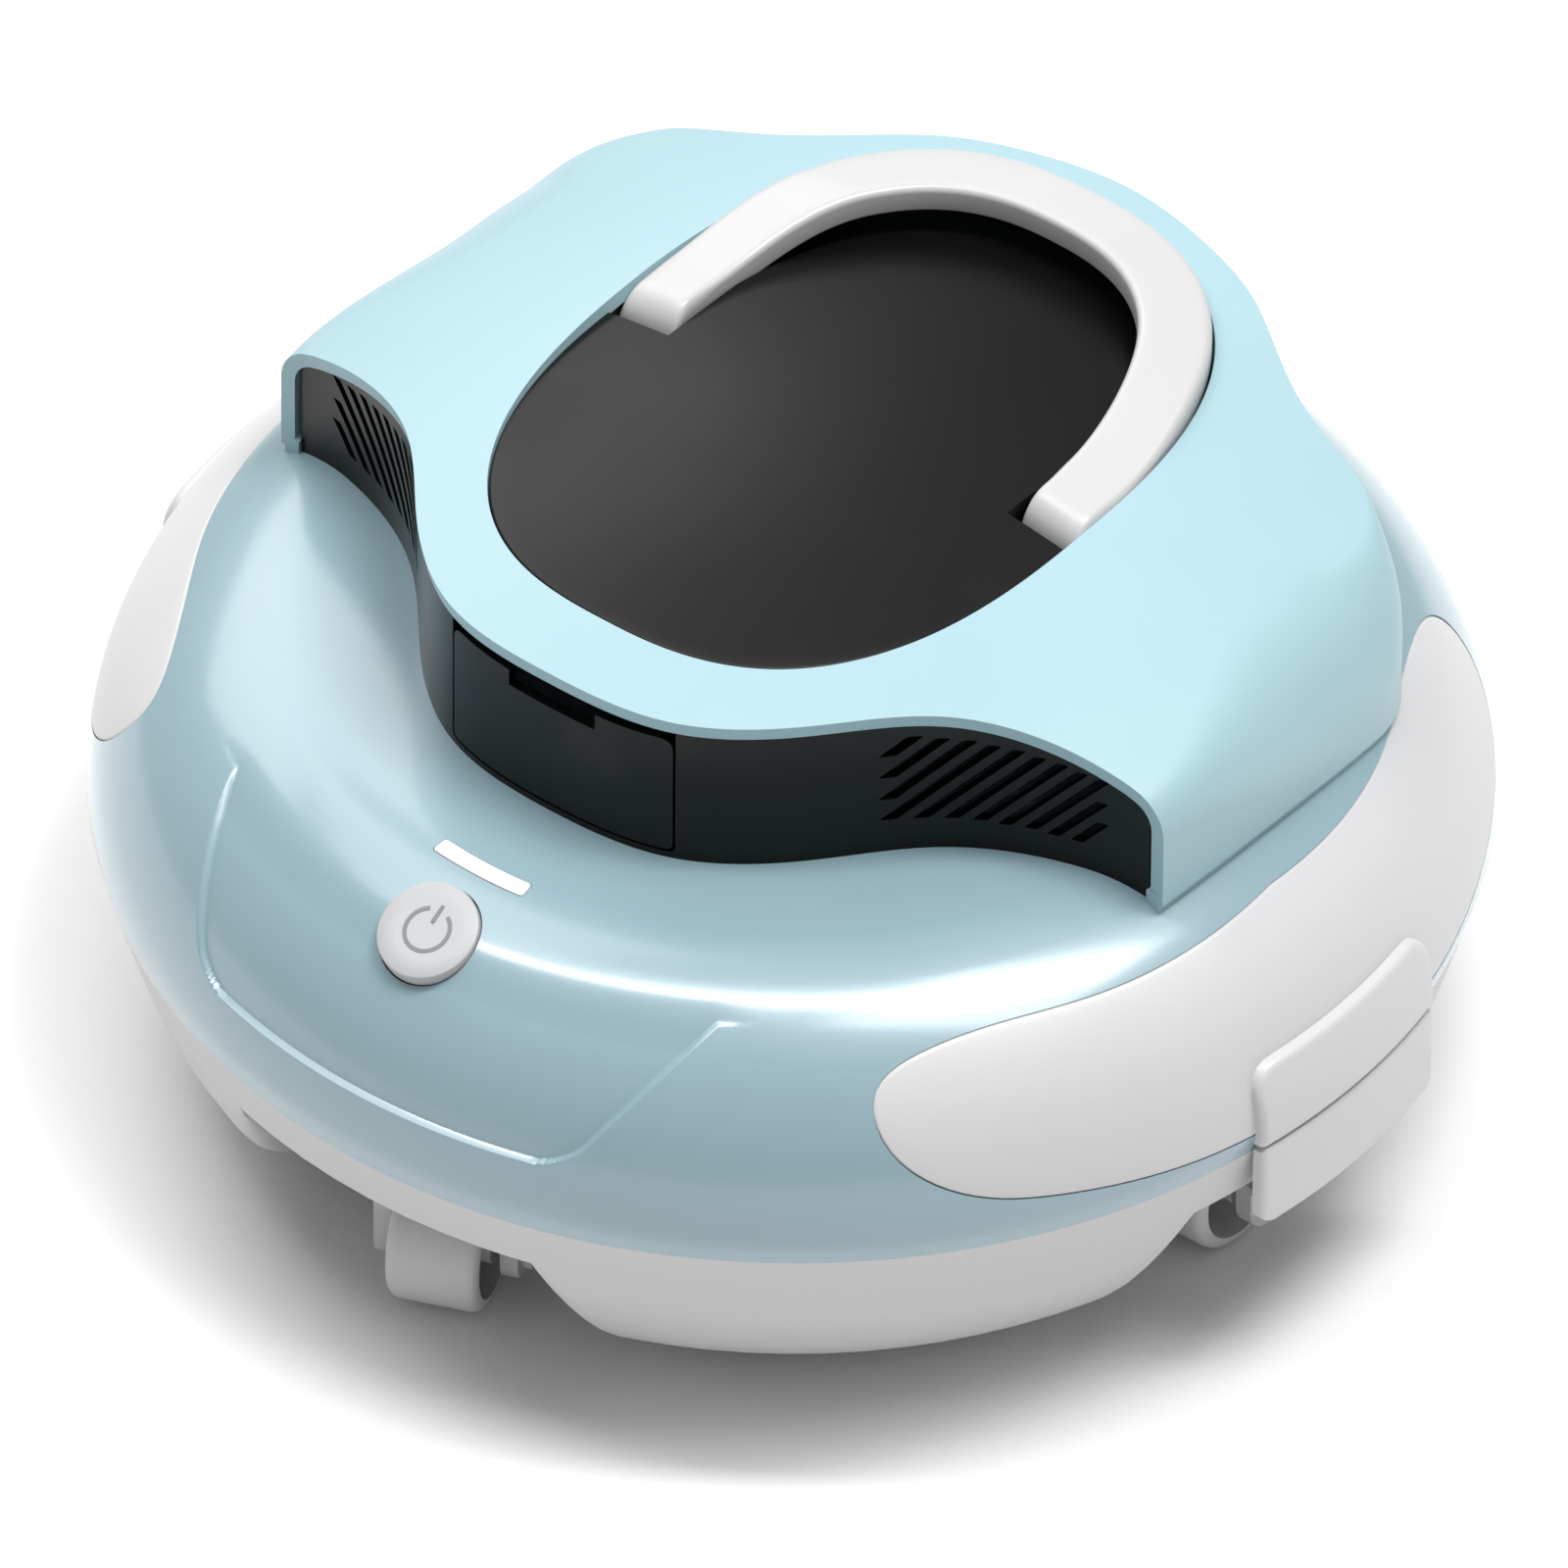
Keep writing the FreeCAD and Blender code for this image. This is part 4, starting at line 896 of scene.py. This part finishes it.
# wheel pockets: half width, inner radius, roof height, and the rounding beside them
POCKET = 50.0
POCKET_IN = 112.0
ROOF = 57.0
BROW = 10.5
TRAY_WALL = 2.6
lobe_points = [(136, 6.2), (149, 9.6), (163, 19), (173.5, 33), (179.8, 46), (183.4, 57.5), (186.2, 67),
               (188.2, 74.4)]
tray_profile = [(0.5, 10), (40, 10), (80, 10), (104, 10), (110, 10), (111.9, 9.1), (POCKET_IN, 9.0),
                (118, 6), (127, 6)]
tray_profile += [(radius, height) for radius, height in spline(lobe_points, 34)] + [(SEAM_R, SEAM_Z)]
strips = [0, 12, 24, 34, 41, 46, 49, 49.9, 50.0, 50.6, 51.5, 52.8, 54.4, 56.2, 58.2, 60.5, 63]


def pocket_depth(t):
    """How far the tray rises to a pocket's roof: all the way inside, falling off at the brow beside it."""
    t = np.abs(t)
    gap = np.clip((t - POCKET) / BROW, 0, 1)
    return np.where(t < POCKET, 1.0, 0.62 * (1 - np.sqrt(1 - (1 - gap) ** 2)))


tray_rows = []
for radius, height in tray_profile:
    ring = []
    for quarter in range(4):
        wide = max(radius, POCKET_IN)
        spots = [math.asin(t / wide) for t in strips]
        spots += list(np.linspace(spots[-1], math.pi / 4, 7)[1:])
        full = [-s for s in spots[:0:-1]] + spots[:-1]
        for spot in full:
            t = wide * math.sin(spot)
            share = float(pocket_depth(t)) if abs(spot) < math.pi / 4 - 1e-6 else 0.0
            share = share if radius >= POCKET_IN and height < ROOF + 0.1 else 0.0
            z = max(height, height + (ROOF - height) * share)
            angle = math.radians(-90 + 90 * quarter) + spot
            ring.append((radius * math.cos(angle), radius * math.sin(angle), z))
    tray_rows.append(ring)
tray = sheet("base_tray_skin", tray_rows, wrap=True)
tray.data.set_sharp_from_angle(angle=math.radians(50))
tray = thicken(tray, TRAY_WALL, even=False)
for inlet_y in (-59, 33):
    carve(tray, block("inlet_tool", (-30, inlet_y, 0), (30, inlet_y + 26, 30)))
finish(tray, "tray_white", "chassis", ["base_tray"])

# ---------------------------------------------------------------- wheels

# a drum with a web at one end: radius and place along the axle
wheel_profile = [(3.1, -12), (16, -12), (16.5, -13), (17, -13), (18.4, -12.6), (19.5, -11.6), (20, -10),
                 (20, 10), (19.5, 11.6), (18.4, 12.6), (17, 13), (16, 13), (16, -9), (6, -9), (6, 13),
                 (3.1, 13)]
headings = {"front": 22, "rear": 202, "right": 0, "left": 180}
for name, heading in headings.items():
    low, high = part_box(name + "_wheel")
    centre = 500 * (low + high)
    axis = Vector((math.cos(math.radians(heading)), math.sin(math.radians(heading)), 0))
    wheel = lathe(name + "_wheel_skin", wheel_profile, (centre.x, centre.y, 20), axis, 128)
    finish(wheel, "wheel_grey", name + "_wheel", [name + "_wheel"])

# ---------------------------------------------------------------- floor, light and camera

FLOOR = 30000.0
floor_rows = [[(-FLOOR, -FLOOR, 0), (FLOOR, -FLOOR, 0)], [(-FLOOR, FLOOR, 0), (FLOOR, FLOOR, 0)]]
stage_floor = sheet("stage_floor", floor_rows)
stage_floor.data.materials.append(material("stage_white", (0.86, 0.86, 0.86), 0.8, speck=0.01))

world = bpy.data.worlds.new("studio")
bpy.context.scene.world = world
world.use_nodes = True
world.node_tree.nodes["Background"].inputs["Color"].default_value = (1, 1, 1, 1)
world.node_tree.nodes["Background"].inputs["Strength"].default_value = 0.36


def softbox(name, bearing, elevation, distance, wide, tall, power):
    """A soft rectangular light that faces the body; bearings turn from the front toward +X."""
    light_data = bpy.data.lights.new(name, "AREA")
    light_data.shape = "RECTANGLE"
    light_data.size = wide
    light_data.size_y = tall
    light_data.energy = power
    lamp = bpy.data.objects.new(name, light_data)
    around_z = math.radians(bearing)
    up = math.radians(elevation)
    level = math.cos(up)
    toward = Vector((math.sin(around_z) * level, -math.cos(around_z) * level, math.sin(up)))
    spot = toward * distance
    lamp.location = spot + Vector((0, 0, 0.1))
    lamp.rotation_euler = (-spot).to_track_quat("-Z", "Y").to_euler()
    bpy.context.scene.collection.objects.link(lamp)
    return lamp


softbox("key", 110, 70, 2.4, 1.1, 1.1, 33)
softbox("streak", 34, 89, 2.4, 2.8, 0.36, 45)
softbox("fill", -90, 62, 2.6, 1.6, 1.0, 11)
softbox("back", 244, 38, 3.2, 2.4, 1.2, 26)

# a long lens: the view is nearly without perspective and VIEW_WIDE metres wide at the body
FOCAL = 1000
SENSOR = 36
VIEW_WIDE = 0.421
camera_data = bpy.data.cameras.new("camera")
camera_data.lens = FOCAL
camera_data.sensor_width = SENSOR
camera_data.clip_end = 100
camera = bpy.data.objects.new("camera", camera_data)
bpy.context.scene.collection.objects.link(camera)
view_bearing = math.radians(38)
view_height = math.radians(41.74)
view_level = math.cos(view_height)
back_x = math.sin(view_bearing) * view_level
back_y = -math.cos(view_bearing) * view_level
back = Vector((back_x, back_y, math.sin(view_height)))
aim = Vector((0.0135, -0.0211, 0.100))
camera.location = aim + back * VIEW_WIDE * FOCAL / SENSOR
camera_roll = Quaternion((0, 0, 1), math.radians(0.4))
camera.rotation_euler = (back.to_track_quat("Z", "Y") @ camera_roll).to_euler()
bpy.context.scene.camera = camera
bpy.context.scene.view_settings.view_transform = "Standard"
